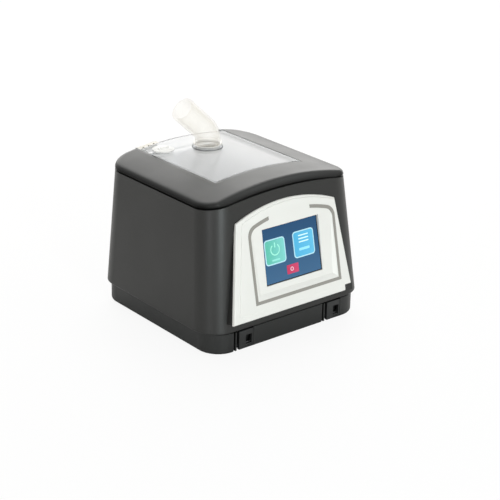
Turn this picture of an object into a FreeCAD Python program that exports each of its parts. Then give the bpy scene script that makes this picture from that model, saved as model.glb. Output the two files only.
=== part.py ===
import FreeCAD, Part
import math
import os
import re
import Sketcher
from FreeCAD import Placement, Rotation, Vector

# Bedside breathing machine: a leaning black housing on a base tray, a wedge-shaped white
# front panel with a touch screen, and a clear humidifier chamber sunk into the crowned top.
# X is to the right, Y to the back, Z up. Lengths are in millimetres. Heights count from the
# table. Depths count from the middle of the shell, which shell_y sets on the origin.

doc = FreeCAD.newDocument("breathing_machine")
sheet = doc.addObject("Spreadsheet::Sheet", "size")
gauge = doc.addObject("App::FeaturePython", "gauge")
gauge.addProperty("App::PropertyFloat", "reading")

sizes = []
formulas = {}
pieces = {}


# ---------------------------------------------------------------- values and formulas

def dimension(name, value):
    """Put one driving dimension in the sheet, under its own name."""
    sizes.append(name)
    row = len(sizes)
    sheet.set(f"A{row}", name)
    sheet.set(f"B{row}", str(value))
    sheet.setAlias(f"B{row}", name)


def formula(name, text):
    """Name a length that follows from the driving dimensions."""
    formulas[name] = text


def spelled(text):
    """A formula with every named value spelled out as a cell of the sheet."""
    def swap(match):
        word = match.group(0)
        if word in formulas:
            return f"({spelled(formulas[word])})"
        return f"size.{word}" if word in sizes else word
    return re.sub(r"[a-z][a-z_]*", swap, str(text))


def number(text):
    """The present value of a formula."""
    gauge.setExpression("reading", spelled(text))
    gauge.recompute()
    return gauge.reading


def bind(thing, **values):
    """Bind properties of an object to formulas."""
    for name, text in values.items():
        thing.setExpression(name, spelled(text))


def place(thing, x="0", y="0", z="0", axis=None, turn="0"):
    """Place an object by formulas, y counted from the middle of the shell."""
    if axis is not None:
        thing.Placement = Placement(Vector(), Rotation(axis, 1))
        thing.setExpression("Placement.Rotation.Angle", spelled(turn))
    thing.setExpression("Placement.Base.x", spelled(x))
    thing.setExpression("Placement.Base.y", spelled(f"{y} + shell_y"))
    thing.setExpression("Placement.Base.z", spelled(z))
    return thing


# ---------------------------------------------------------------- driving dimensions

# Outer shell
dimension("shell_width", 170)
dimension("shell_depth", 161)
dimension("seam_height", 20)
dimension("side_lean", 0.081)
dimension("front_lean", 0.118)
dimension("back_lean", 0.02)
dimension("corner_round", 22)
dimension("wall", 2.5)
dimension("seam_ledge", 5)
dimension("seam_round", 1)
dimension("crease_height", 128.8)
dimension("crease_radius", 375)
# Rim on top
dimension("crown_height", 136)
dimension("crown_radius", 290)
dimension("rim_overhang", 0.2)
dimension("rim_round", 4.5)
dimension("brow_set_back", 17)
dimension("brow_angle", 58)
dimension("brow_round", 3)
dimension("window_width", 91.8)
dimension("window_front", 35.2)
dimension("curtain_wall", 2.5)
dimension("groove_depth", 1.4)
dimension("groove_height", 1.6)
# Base tray
dimension("foot_height", 1.2)
dimension("foot_radius", 7)
dimension("foot_side_inset", 25)
dimension("foot_end_inset", 26.5)
dimension("base_side_inset", 4.4)
dimension("base_front_inset", 1)
dimension("base_corner_round", 20)
dimension("base_edge_round", 2.4)
dimension("base_floor", 2.5)
dimension("reveal_height", 1)
dimension("reveal_depth", 0.8)
# Screws of the base
dimension("screw_side_inset", 13)
dimension("screw_end_inset", 16.5)
dimension("post_radius", 5)
dimension("screw_radius", 1.45)
dimension("screw_head_radius", 3.1)
dimension("screw_head_height", 2.4)
dimension("screw_length", 28)
dimension("boss_height", 20)
dimension("rib", 2)
# Front panel, in its own leaning plane
dimension("panel_lean", 0.22)
dimension("panel_proud", 9.5)
dimension("panel_foot_height", 28)
dimension("panel_bottom", 2.6)
dimension("panel_left", 67.5)
dimension("panel_right", 61)
dimension("panel_top_left", 53.4)
dimension("panel_top_right", 52)
dimension("panel_shoulder", 83.7)
dimension("panel_arch_radius", 139)
dimension("panel_edge_round", 1.2)
dimension("field_height", 0.7)
dimension("field_round", 0.6)
dimension("field_left", 5.4)
dimension("field_right", 1)
dimension("field_bottom", 5.2)
dimension("field_top", 1.2)
dimension("wedge_inset", 0.4)
dimension("wedge_depth", 24)
dimension("recess_gap", 0.9)
dimension("recess_top", 76)
dimension("recess_depth", 1.4)
dimension("recess_slope", 3.5)
dimension("screen_centre", 1.1)
dimension("screen_width", 60.6)
dimension("screen_height", 47.6)
dimension("screen_bottom", 26)
dimension("bezel_skin", 1.5)
dimension("glass_thick", 1)
dimension("lcd_thick", 5)
dimension("lcd_margin", 3)
dimension("board_thick", 1.6)
dimension("notch_width", 8)
dimension("notch_height", 5.4)
# Grey line round the screen
dimension("line_left", 43.8)
dimension("line_right", 49.2)
dimension("line_bottom", 13.7)
dimension("line_shoulder", 76.7)
dimension("line_arch_radius", 130)
dimension("line_width", 2.7)
dimension("line_top_width", 2.1)
dimension("line_round", 10)
dimension("line_height", 0.6)
dimension("line_sunk", 0.4)
dimension("line_gap_width", 44)
# Humidifier bay
dimension("bay_floor", 58)
dimension("bay_wall", 2)
dimension("bay_shelf", 119.8)
dimension("bay_shelf_reach", 4)
dimension("bay_end_inset", 5)
# Water tub
dimension("tub_gap", 0.7)
dimension("tub_floor", 63.5)
dimension("tub_wall", 2)
dimension("tub_taper", 1.5)
dimension("tub_round", 8)
dimension("tub_flange", 2)
dimension("tub_end_gap", 2.5)
dimension("shelf_gap", 0.3)
# Heater and the chamber's metal base
dimension("heater_width", 68)
dimension("heater_front", 24)
dimension("heater_end_gap", 9.5)
dimension("heater_flange", 4)
dimension("heater_flange_thick", 3.2)
dimension("gasket_thick", 0.8)
dimension("metal_base_thick", 1.3)
dimension("metal_base_edge", 3)
# Clear lid
dimension("lid_gap", 0.6)
dimension("lid_wall", 2.6)
dimension("lid_end_inset", 0.9)
dimension("lid_rear_round", 12)
dimension("lid_edge_round", 1)
dimension("seal_thick", 0.8)
dimension("seal_width", 2.4)
# Outlet port and elbow
dimension("port_y", 34.7)
dimension("tube_radius", 11)
dimension("tube_bore", 9)
dimension("swivel_gap", 0.05)
dimension("collar_radius", 12.8)
dimension("collar_top", 138.6)
dimension("collar_bottom", 128.5)
dimension("port_seat", 131)
dimension("drop_tube_bottom", 112)
dimension("elbow_bend_height", 149)
dimension("elbow_bend_radius", 14)
dimension("elbow_angle", 47.5)
dimension("elbow_arm", 36.5)
dimension("bead_radius", 12.5)
dimension("bead_height", 1.5)
# Filler plug and lift tab
dimension("plug_x", -33.5)
dimension("plug_y", 53.3)
dimension("plug_radius", 8)
dimension("plug_rim", 9.5)
dimension("plug_top", 135.3)
dimension("plug_rim_thick", 1)
dimension("plug_gap", 0.1)
dimension("plug_depth", 7)
dimension("boss_wall", 1.8)
dimension("tab_side_gap", 1.3)
dimension("tab_width", 22.1)
dimension("tab_depth", 6.6)
dimension("tab_sink", 1.9)
dimension("tab_slot", 1.8)
dimension("tab_slot_depth", 3.4)
# Air path
dimension("inlet_x", 8)
dimension("inlet_z", 104)
dimension("inlet_bore", 8)
dimension("inlet_seal_radius", 9.9)
dimension("seal_gap", 0.3)
dimension("duct_radius", 10)
dimension("duct_wall", 1.5)
dimension("duct_y", 49)
dimension("duct_bend", 13)
# Blower
dimension("blower_y", 8)
dimension("blower_bottom", 10)
dimension("blower_height", 32)
dimension("blower_wall", 2)
dimension("scroll_radius", 38)
dimension("scroll_growth", 3)
dimension("outlet_width", 24)
dimension("outlet_end", 42)
dimension("duct_overlap", 1.5)
dimension("eye_radius", 17)
dimension("cover_thick", 2)
dimension("motor_radius", 17)
dimension("motor_height", 12)
dimension("shaft_radius", 2)
dimension("shaft_gap", 0.05)
dimension("wheel_radius", 31)
dimension("wheel_height", 12)
dimension("wheel_plate", 1.6)
dimension("wheel_lift", 1)
dimension("hub_radius", 6)
dimension("blade_count", 11)
dimension("blade_root", 12)
dimension("blade_sweep", 48)
dimension("blade_arc_radius", 26)
dimension("blade_thick", 1.1)
dimension("mount_radius", 5)
dimension("mount_ring", 28)
# Boards
dimension("standoff_height", 3.5)
dimension("standoff_radius", 3)
dimension("board_left", 24)
dimension("board_margin", 2.1)
dimension("post_gap", 1)
dimension("control_depth", 38)
# Back: filter, mains socket and rocker switch
dimension("back_sink", 0.05)
dimension("flange_thick", 2)
dimension("back_gap", 0.2)
dimension("filter_x", -45)
dimension("filter_z", 39)
dimension("filter_width", 36)
dimension("filter_height", 24)
dimension("filter_lip", 3)
dimension("filter_well_depth", 14)
dimension("filter_ledge", 3)
dimension("foam_thick", 5)
dimension("louvre_count", 6)
dimension("louvre_width", 2)
dimension("socket_x", 26)
dimension("socket_z", 38)
dimension("socket_width", 27)
dimension("socket_height", 20)
dimension("socket_lip", 2.4)
dimension("socket_depth", 17)
dimension("socket_mouth_width", 23)
dimension("socket_mouth_height", 15.5)
dimension("pin_length", 9)
dimension("rocker_x", 58)
dimension("rocker_width", 13)
dimension("rocker_height", 19)
dimension("rocker_depth", 14)
dimension("rocker_skin", 0.8)
dimension("rocker_gap", 0.5)
dimension("rocker_tilt", 7)
dimension("rocker_pivot_depth", 2.6)
dimension("rocker_pin_radius", 1)
# Latches in the base's front
dimension("latch_spread", 48)
dimension("latch_shift", -1.6)
dimension("latch_width", 20.5)
dimension("latch_depth", 5.7)
dimension("lever_left", 4.4)
dimension("lever_right", 10)
dimension("lever_thick", 2.4)
dimension("lever_bottom", 2.2)
dimension("lever_drop", 1.8)
dimension("nub_bottom", 15.8)
dimension("nub_height", 1.3)
dimension("nub_reach", 1.4)
dimension("nub_gap", 0.4)
dimension("tongue_thick", 1.8)
dimension("tongue_drop", 8)
dimension("latch_pin_radius", 1)
dimension("latch_pin_z", 5.4)
dimension("latch_pin_depth", 3.2)
dimension("latch_eye_radius", 2.1)
dimension("latch_rib", 1.4)
dimension("rib_space", 2.2)

# Rear fittings stand proud of the back by one flange, and the panel's foot of the front:
# the shell sits between the two, so that the origin is at the middle of the whole.
formula("panel_front", "panel_reach + panel_edge_round * (1 - panel_cos)"
        " - (panel_bottom + panel_edge_round) * panel_lean * panel_cos")
formula("shell_y", "(panel_front - back_seat - flange_thick) / 2")
formula("panel_cos", "1 / sqrt(1 + panel_lean ^ 2)")
formula("panel_reach", "shell_depth / 2 + panel_proud")
formula("back_seat", "shell_depth / 2 - back_sink")
formula("brow_start", "shell_depth / 2 - brow_set_back")
formula("brow_radius", "crown_radius / cos(brow_angle * 1 deg)")
formula("foot_spread_x", "shell_width / 2 - foot_side_inset")
formula("foot_spread_y", "shell_depth / 2 - foot_end_inset")
formula("screw_spread_x", "shell_width / 2 - screw_side_inset")
formula("screw_spread_y", "shell_depth / 2 - screw_end_inset")
formula("bay_rear", "shell_depth / 2 - bay_end_inset")
formula("tub_rear", "bay_rear - tub_end_gap")
formula("heater_rear", "bay_rear - heater_end_gap")
formula("lid_rear", "shell_depth / 2 - lid_end_inset")
formula("tab_left", "window_width / 2 - tab_side_gap")
formula("tab_right", "tab_left - tab_width")
formula("tab_front", "lid_rear - tab_depth")
formula("board_width", "shell_width / 2 - base_side_inset - wall - board_margin - board_left")
formula("control_front", "-screw_spread_y + post_radius + 2 * post_gap")
formula("supply_front", "control_front + control_depth + post_gap")
formula("supply_depth", "screw_spread_y - post_radius - post_gap - supply_front")
formula("panel_left_slant", "(panel_left - panel_top_left) / (panel_shoulder - panel_bottom)")
formula("panel_right_slant", "(panel_right - panel_top_right) / (panel_shoulder - panel_bottom)")
formula("recess_left", "line_left - line_width - recess_gap")
formula("recess_right", "line_right - line_width - recess_gap")
formula("recess_bottom", "line_bottom + line_width + recess_gap")
formula("recess_flare", "recess_slope / (recess_depth + field_height)")
formula("crown_centre", "crown_height - crown_radius")
formula("crease_centre", "crease_height - crease_radius")
formula("floor_top", "foot_height + base_floor")
formula("base_front", "shell_depth / 2 - base_front_inset")
formula("lid_width", "window_width - 2 * lid_gap")
formula("lid_front", "window_front - lid_gap")
formula("shelf_bottom", "bay_shelf - bay_wall")
formula("flange_bottom", "bay_shelf + shelf_gap")
formula("flange_top", "flange_bottom + tub_flange")
formula("lid_bottom", "flange_top + seal_thick")
formula("bay_half", "window_width / 2 - bay_wall + 1")
formula("bay_front", "window_front - 1")
formula("tub_half", "bay_half - bay_wall - tub_gap")
formula("tub_front", "bay_front - bay_wall - tub_gap")
formula("heater_top", "tub_floor - metal_base_thick")
formula("blower_top", "blower_bottom + blower_height")
formula("board_bottom", "floor_top + standoff_height")
formula("elbow_tangent", "elbow_bend_radius * tan(elbow_angle * 0.5 * 1 deg)")
formula("elbow_turn", "elbow_bend_height - elbow_tangent")
formula("elbow_run", "elbow_arm - elbow_tangent")
formula("blower_x", "inlet_x - scroll_radius - 3.5 * scroll_growth + outlet_width / 2")
formula("duct_start", "outlet_end - blower_y - duct_overlap")
formula("duct_low", "blower_bottom + blower_wall + duct_radius + 2")
formula("panel_back", "recess_depth + bezel_skin")
formula("wheel_bottom", "blower_bottom + blower_wall + motor_height + wheel_lift")
formula("latch_back", "base_front - latch_depth")
formula("lever_front", "base_front - 0.2")
formula("lever_back", "lever_front - lever_thick")
formula("latch_pin_y", "base_front - latch_pin_depth")
formula("plug_rim_bottom", "plug_top - plug_rim_thick")

doc.recompute()


# ---------------------------------------------------------------- building blocks

def origin_plane(body, role):
    """One of a body's own origin planes."""
    return next(plane for plane in body.Origin.OriginFeatures if plane.Role == role)


def new_sketch(body, role="XY_Plane", lift="0"):
    """A sketch on one of the body's own planes, lifted off it."""
    sketch = body.newObject("Sketcher::SketchObject", "sketch")
    sketch.AttachmentSupport = [(origin_plane(body, role), "")]
    sketch.MapMode = "FlatFace"
    sketch.setExpression("AttachmentOffset.Base.z", spelled(lift))
    return sketch


def pin_point(sketch, geometry, end, x, y):
    """Tie one point of a sketch to two formulas."""
    for kind, text in (("DistanceX", x), ("DistanceY", y)):
        index = sketch.addConstraint(Sketcher.Constraint(kind, geometry, end, number(text)))
        sketch.setExpression(f"Constraints[{index}]", spelled(text))


def fix_radius(sketch, geometry, radius):
    """Tie an arc's or a circle's radius to a formula."""
    index = sketch.addConstraint(Sketcher.Constraint("Radius", geometry, number(radius)))
    sketch.setExpression(f"Constraints[{index}]", spelled(radius))


def draw_outline(sketch, points):
    """A closed outline of straight lines through points given by formulas."""
    spots = [Vector(number(x), number(y), 0) for x, y in points]
    last = len(points) - 1
    for index, spot in enumerate(spots):
        ahead = spots[0 if index == last else index + 1]
        sketch.addGeometry(Part.LineSegment(spot, ahead), False)
    for index, (x, y) in enumerate(points):
        following = 0 if index == last else index + 1
        sketch.addConstraint(Sketcher.Constraint("Coincident", index, 2, following, 1))
        pin_point(sketch, index, 1, x, y)


def draw_circle(sketch, x, y, radius):
    """A circle given by formulas."""
    centre = Vector(number(x), number(y), 0)
    circle = sketch.addGeometry(Part.Circle(centre, Vector(0, 0, 1), number(radius)), False)
    pin_point(sketch, circle, 3, x, y)
    fix_radius(sketch, circle, radius)


def arc_through(start, end, radius):
    """The short arc that runs anticlockwise from start to end."""
    middle = (start + end) * 0.5
    half = (end - start) * 0.5
    rise = math.sqrt(radius ** 2 - half.Length ** 2)
    inward = Vector(-half.y, half.x, 0).normalize()
    centre = middle + inward * rise
    first = math.atan2(start.y - centre.y, start.x - centre.x)
    last = math.atan2(end.y - centre.y, end.x - centre.x)
    return Part.ArcOfCircle(Part.Circle(centre, Vector(0, 0, 1), radius), first, last)


def draw_arched(sketch, left, right, bottom, shoulder, radius, top_left=None, top_right=None):
    """A four-sided outline whose top is an arc."""
    corners = [(left, bottom), (right, bottom),
               (top_right or right, shoulder), (top_left or left, shoulder)]
    spots = [Vector(number(x), number(y), 0) for x, y in corners]
    sketch.addGeometry(Part.LineSegment(spots[0], spots[1]), False)
    sketch.addGeometry(Part.LineSegment(spots[1], spots[2]), False)
    sketch.addGeometry(arc_through(spots[2], spots[3], number(radius)), False)
    sketch.addGeometry(Part.LineSegment(spots[3], spots[0]), False)
    for index, (x, y) in enumerate(corners):
        following = 0 if index == 3 else index + 1
        sketch.addConstraint(Sketcher.Constraint("Coincident", index, 2, following, 1))
        pin_point(sketch, index, 1, x, y)
    fix_radius(sketch, 2, radius)


def new_body(name):
    """A body whose depths count from the middle of the shell."""
    body = doc.addObject("PartDesign::Body", name)
    return place(body)


def pad(body, sketch, length, both=False):
    """Pad a sketch by a formula, to one side or half to each."""
    feature = body.newObject("PartDesign::Pad", "pad")
    feature.Profile = sketch
    feature.Midplane = both
    bind(feature, Length=length)
    doc.recompute()
    return feature


def cut_pocket(body, sketch, length, reverse=False):
    """Pocket a sketch and make sure that it removes something."""
    before = body.Shape.Volume
    feature = body.newObject("PartDesign::Pocket", "pocket")
    feature.Profile = sketch
    feature.Reversed = reverse
    bind(feature, Length=length)
    doc.recompute()
    if body.Shape.Volume >= before:
        raise RuntimeError(f"a pocket of {body.Name} cuts nothing")
    return feature


def edges_where(shape, test):
    """Names of the edges that pass a test."""
    return [f"Edge{index + 1}" for index, edge in enumerate(shape.Edges) if test(edge)]


def steep(edge):
    """True for an edge that runs more or less upright."""
    run = edge.Vertexes[-1].Point - edge.Vertexes[0].Point
    return abs(run.z) > 0.9 * run.Length


def level_at(height):
    """A test for edges that lie all in the plane at one height."""
    def test(edge):
        box = edge.BoundBox
        return abs(box.ZMin - height) < 1e-4 and abs(box.ZMax - height) < 1e-4
    return test


def round_edges(body, test, radius):
    """Round the edges of a body that pass a test."""
    base = body.Tip
    names = edges_where(base.Shape, test)
    feature = body.newObject("PartDesign::Fillet", "fillet")
    feature.Base = (base, names)
    bind(feature, Radius=radius)
    doc.recompute()
    return feature


def box(name, low, high):
    """A box between two corners, each given by three formulas."""
    piece = doc.addObject("Part::Box", name)
    for side, start, end in zip(("Length", "Width", "Height"), low, high):
        piece.setExpression(side, spelled(f"({end}) - ({start})"))
    return place(piece, *low)


def upright(name, x, y, radius, bottom, top):
    """An upright cylinder between two heights."""
    piece = doc.addObject("Part::Cylinder", name)
    bind(piece, Radius=radius, Height=f"({top}) - ({bottom})")
    return place(piece, x, y, bottom)


def lying(name, axis, turn, centre, radius, length):
    """A cylinder that starts at a point and lies along Y or X."""
    piece = doc.addObject("Part::Cylinder", name)
    bind(piece, Radius=radius, Height=length)
    return place(piece, *centre, axis=axis, turn=turn)


def along_y(name, centre, radius, length):
    """A cylinder that runs to the back from a point."""
    return lying(name, Vector(1, 0, 0), "-90", centre, radius, length)


def along_x(name, centre, radius, length):
    """A cylinder that runs to the right from a point."""
    return lying(name, Vector(0, 1, 0), "90", centre, radius, length)


def join(name, shapes):
    """Fuse shapes into one."""
    piece = doc.addObject("Part::MultiFuse", name)
    piece.Shapes = shapes
    return piece


def cut(name, base, tools):
    """Cut one or more tools out of a shape."""
    piece = doc.addObject("Part::Cut", name)
    piece.Base = base
    piece.Tool = tools[0] if len(tools) == 1 else join(f"{name}_tools", tools)
    return piece


def overlap(name, first, second):
    """What two shapes have in common."""
    piece = doc.addObject("Part::Common", name)
    piece.Base = first
    piece.Tool = second
    return piece


def as_solid(name, shape):
    """A shape made by Part's own functions, as an object of the document."""
    piece = doc.addObject("Part::Feature", name)
    piece.Shape = shape
    return piece


def hold(label, piece):
    """Keep an object as a finished sub-part under the name that its file gets."""
    piece.Label = label
    pieces[label] = piece
    return piece


def panel_frame(piece, x="0", depth="0", along="0"):
    """Place an object in the leaning plane of the front panel.

    depth counts from the panel's face into the machine, along counts up its slope.
    """
    lean = "atan(panel_lean)"
    y = f"-panel_reach + ({depth}) * cos({lean}) + ({along}) * sin({lean})"
    z = f"panel_foot_height - ({depth}) * sin({lean}) + ({along}) * cos({lean})"
    return place(piece, x, y, z, axis=Vector(-1, 0, 0), turn=lean)


def panel_box(name, low, high):
    """A box in the panel's plane: right, depth and along, from low to high."""
    piece = doc.addObject("Part::Box", name)
    for side, start, end in zip(("Length", "Width", "Height"), low, high):
        piece.setExpression(side, spelled(f"({end}) - ({start})"))
    return panel_frame(piece, *low)


def round_some(name, base, radius, test):
    """Round the edges of any object that pass a test."""
    size = number(radius)
    piece = doc.addObject("Part::Fillet", name)
    piece.Base = base
    piece.Edges = [(index + 1, size, size) for index, edge in enumerate(base.Shape.Edges)
                   if test(edge)]
    doc.recompute()
    return piece


def slab_across(name, role, points):
    """A long slab whose section is an outline on one of the upright planes."""
    body = new_body(name)
    sketch = new_sketch(body, role)
    draw_outline(sketch, points)
    pad(body, sketch, "3 * shell_width", both=True)
    return body


def sloped_block(name, level, low, high, corner):
    """A block with four leaning sides and rounded upright corners.

    level gives, for a height, the half width and the places of the front and the back.
    """
    half_low, front_low, back_low = level(low)
    half_high, front_high, back_high = level(high)
    across = slab_across(f"{name}_across", "XZ_Plane",
                         [(f"-({half_low})", low), (half_low, low),
                          (half_high, high), (f"-({half_high})", high)])
    along = slab_across(f"{name}_along", "YZ_Plane",
                        [(front_low, low), (back_low, low),
                         (back_high, high), (front_high, high)])
    block = overlap(f"{name}_block", across, along)
    doc.recompute()
    return round_some(name, block, corner, steep)


def leaning_block(name, inset, low, high, corner):
    """A solid with the shell's leaning sides, inset all round, between two heights."""
    def level(height):
        climb = f"(({height}) - seam_height)"
        return (f"shell_width / 2 - side_lean * {climb} - ({inset})",
                f"-(shell_depth / 2 - front_lean * {climb} - ({inset}))",
                f"shell_depth / 2 - back_lean * {climb} - ({inset})")
    return sloped_block(name, level, low, high, corner)


def plain_block(name, low, high, corner):
    """An upright block with rounded corners."""
    body = new_body(name)
    sketch = new_sketch(body, lift=low[2])
    draw_outline(sketch, [(low[0], low[1]), (high[0], low[1]), (high[0], high[1]),
                          (low[0], high[1])])
    pad(body, sketch, f"({high[2]}) - ({low[2]})")
    round_edges(body, steep, corner)
    return body


def four_corners(spread_x, spread_y):
    """The four places of a rectangular pattern, as formulas."""
    return [(f"{x} * {spread_x}", f"{y} * {spread_y}") for x in (-1, 1) for y in (-1, 1)]


def top_cylinder(name, radius, centre):
    """The long cylinder whose top gives a face its crown."""
    start = ("0", "-shell_depth", centre)
    return along_y(name, start, radius, "2 * shell_depth")


# ---------------------------------------------------------------- housing

def latch_centres():
    """The middle of each latch, with a name for it."""
    return (("left", "(latch_shift - latch_spread)"), ("right", "(latch_shift + latch_spread)"))


def housing_bosses():
    """Screw bosses in the housing's corners, each with two ribs to the walls."""
    shapes = []
    top = "seam_height + boss_height"
    for index, (x, y) in enumerate(four_corners("screw_spread_x", "screw_spread_y")):
        shapes.append(upright(f"boss_{index}", x, y, "post_radius", "seam_height", top))
        side = 1 if number(x) > 0 else -1
        reach = f"{side} * (shell_width / 2 - wall + 0.3)"
        ends = sorted((x, reach), key=number)
        low = (ends[0], f"{y} - rib / 2", "seam_height")
        high = (ends[1], f"{y} + rib / 2", top)
        shapes.append(box(f"boss_rib_{index}", low, high))
    return shapes


def latch_blocks(bottom, top):
    """The thick places behind the two latches."""
    shapes = []
    for name, centre in latch_centres():
        low = (f"{centre} - latch_width / 2 - wall", "-base_front", bottom)
        high = (f"{centre} + latch_width / 2 + wall", "-latch_back + wall", top)
        shapes.append(box(f"latch_block_{name}", low, high))
    return shapes


def latch_tongues():
    """A tongue behind each latch, hanging from the housing, with the slot that its nub fills."""
    shapes = []
    for name, centre in latch_centres():
        near = "-lever_back + nub_gap"
        tongue = box(f"tongue_{name}",
                     (f"{centre} - lever_left + 1", near, "seam_height - tongue_drop"),
                     (f"{centre} + lever_right - 1", f"{near} + tongue_thick", "seam_height + 4"))
        slot = box(f"tongue_slot_{name}",
                   (f"{centre} - lever_left + 2", f"{near} - 1", "nub_bottom - nub_gap"),
                   (f"{centre} + lever_right - 2", f"{near} + tongue_thick + 1",
                    "nub_bottom + nub_height + nub_gap"))
        shapes.append(cut(f"tongue_cut_{name}", tongue, [slot]))
    return shapes


def filter_well():
    """The box inside the back wall that holds the filter, open at both ends."""
    half = "(filter_width / 2 + back_gap)"
    tall = "(filter_height / 2 + back_gap)"
    inner = "back_seat - filter_well_depth"
    outer = box("well_block", (f"filter_x - {half} - wall", inner, f"filter_z - {tall} - wall"),
                (f"filter_x + {half} + wall", "back_seat - 1", f"filter_z + {tall} + wall"))
    return outer


def filter_openings():
    """The well's own hollow, and the smaller way through its inner end."""
    half = "(filter_width / 2 + back_gap)"
    tall = "(filter_height / 2 + back_gap)"
    inner = "back_seat - filter_well_depth"
    wide = box("well_hollow", (f"filter_x - {half}", f"{inner} + bay_wall", f"filter_z - {tall}"),
               (f"filter_x + {half}", "back_seat + 5", f"filter_z + {tall}"))
    low = (f"filter_x - {half} + filter_ledge", f"{inner} - 1", f"filter_z - {tall} + filter_ledge")
    high = (f"filter_x + {half} - filter_ledge", "back_seat", f"filter_z + {tall} - filter_ledge")
    return [wide, box("well_throat", low, high)]


def rear_cutout(name, x, z, width, height):
    """A rectangular hole in the back wall for a snap-in fitting."""
    low = (f"{x} - {width} / 2 - back_gap", "back_seat - 8", f"{z} - {height} / 2 - back_gap")
    high = (f"{x} + {width} / 2 + back_gap", "back_seat + 5", f"{z} + {height} / 2 + back_gap")
    return box(name, low, high)


def make_upper_housing():
    """The black housing: four leaning walls under an arched top edge."""
    outer = leaning_block("housing_outer", "0", "seam_height", "crown_height + 4", "corner_round")
    eased = round_some("housing_eased", outer, "seam_round", level_at(number("seam_height")))
    arched = overlap("housing_arched", eased,
                     top_cylinder("crease_cylinder", "crease_radius", "crease_centre"))
    hollow = leaning_block("housing_hollow", "wall", "seam_height + seam_ledge",
                           "crown_height + 6", "corner_round - wall")
    mouth = leaning_block("housing_mouth", "wall + seam_ledge", "seam_height - 1",
                          "seam_height + seam_ledge + 1", "corner_round - wall - seam_ledge")
    shell = cut("housing_shell", arched, [hollow, mouth])
    blocks = latch_blocks("seam_height", "seam_height + 7")
    inside = overlap("housing_inside", arched,
                     join("housing_fittings", [filter_well()] + housing_bosses() + blocks))
    whole = join("housing_whole", [shell, inside, panel_wedge()] + latch_tongues())
    screw_top = "seam_height + boss_height - 2"
    holes = [upright(f"boss_hole_{index}", x, y, "screw_radius + 0.05", "seam_height - 1", screw_top)
             for index, (x, y) in enumerate(four_corners("screw_spread_x", "screw_spread_y"))]
    half = "window_width / 2 + 0.3"
    notch = box("lid_notch", (f"-({half})", "shell_depth / 2 - 10", "bay_shelf"),
                (half, "shell_depth / 2 + 10", "crown_height + 8"))
    display = panel_box("display_opening",
                        ("screen_centre - screen_width / 2 - lcd_margin - 1", "panel_back",
                         "screen_bottom - lcd_margin - 1"),
                        ("screen_centre + screen_width / 2 + lcd_margin + 1", "panel_back + 30",
                         "screen_bottom + screen_height + lcd_margin + 1"))
    cutouts = [notch, display,
               rear_cutout("socket_hole", "socket_x", "socket_z", "socket_width", "socket_height"),
               rear_cutout("rocker_hole", "rocker_x", "socket_z", "rocker_width", "rocker_height")]
    tools = cutouts + filter_openings() + holes
    hold("upper_housing", cut("housing_cut", whole, tools))
    return outer


def brow_cylinder():
    """A second crown that drops steeply at the front, and gives the rim its sloping brow."""
    piece = doc.addObject("Part::Cylinder", "brow_cylinder")
    bind(piece, Radius="brow_radius", Height="3 * shell_depth")
    reach = "1.5 * shell_depth"
    lean = "brow_angle * 1 deg"
    y = f"-brow_start - {reach} * cos({lean}) + brow_radius * sin({lean})"
    z = f"crown_height - {reach} * sin({lean}) - brow_radius * cos({lean})"
    return place(piece, "0", y, z, axis=Vector(1, 0, 0), turn=f"brow_angle * 1 deg - 90 * 1 deg")


def rim_curtain():
    """The wall that hangs round the window down to the shelf of the bay."""
    half = "window_width / 2"
    low = (f"-({half} + curtain_wall)", "-window_front - curtain_wall", "bay_shelf")
    high = (f"{half} + curtain_wall", "bay_rear", "crease_height + 1")
    return box("curtain", low, high)


def rim_pockets():
    """Hollows under the two side bands, so that the rim is a skin there."""
    pockets = []
    inner = leaning_block("rim_inner", "wall + 1", "crease_height - 20", "crown_height + 6",
                          "corner_round - wall - 1")
    under = top_cylinder("skin_cylinder", "crown_radius - wall", "crown_centre")
    hollow = overlap("rim_hollow", inner, under)
    for name, side in (("left", -1), ("right", 1)):
        ends = sorted((f"{side} * (window_width / 2 + curtain_wall)", f"{side} * shell_width / 2"),
                      key=number)
        area = box(f"band_{name}", (ends[0], "-brow_start + 12", "crease_height - 20"),
                   (ends[1], "bay_rear - 4", "crown_height + 6"))
        pockets.append(overlap(f"pocket_{name}", hollow, area))
    return pockets


def make_top_rim():
    """The crowned rim round the window, open at the back where the lid runs out."""
    outer = leaning_block("rim_outer", "-rim_overhang", "crease_height - 20",
                          "crown_height + 6", "corner_round + rim_overhang")
    crowned = overlap("rim_crowned", outer,
                      top_cylinder("crown_cylinder", "crown_radius", "crown_centre"))
    folded = overlap("rim_folded", crowned, brow_cylinder())
    doc.recompute()
    fold = number("shell_y - brow_start")
    soft = round_some("rim_soft", folded, "brow_round",
                      lambda edge: all(abs(point.Y - fold) < 1 for point in edge.Vertexes)
                      and edge.BoundBox.XLength > number("shell_width / 3"))
    eased = round_some("rim_eased", soft, "rim_round", round_top)
    seated = cut("rim_slab", eased, [top_cylinder("rim_seat", "crease_radius", "crease_centre")])
    half = "window_width / 2"
    window = box("window", (f"-{half}", "-window_front", "crease_height - 30"),
                 (half, "shell_depth", "crown_height + 10"))
    whole = join("rim_whole", [seated, rim_curtain()])
    hold("top_rim", cut("rim_cut", whole, [window, rim_groove()] + rim_pockets()))


def rim_groove():
    """The shadow groove between the rim and the housing, which follows the arched edge."""
    low = "crease_height - 20"
    high = "crown_height + 2"
    around = leaning_block("groove_outer", "-5", low, high, "corner_round")
    core = leaning_block("groove_core", "groove_depth", low, high, "corner_round - groove_depth")
    ring = cut("groove_ring", around, [core])
    top = top_cylinder("groove_top", "crease_radius", "crease_centre + groove_height")
    return overlap("rim_groove", ring, top)


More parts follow.
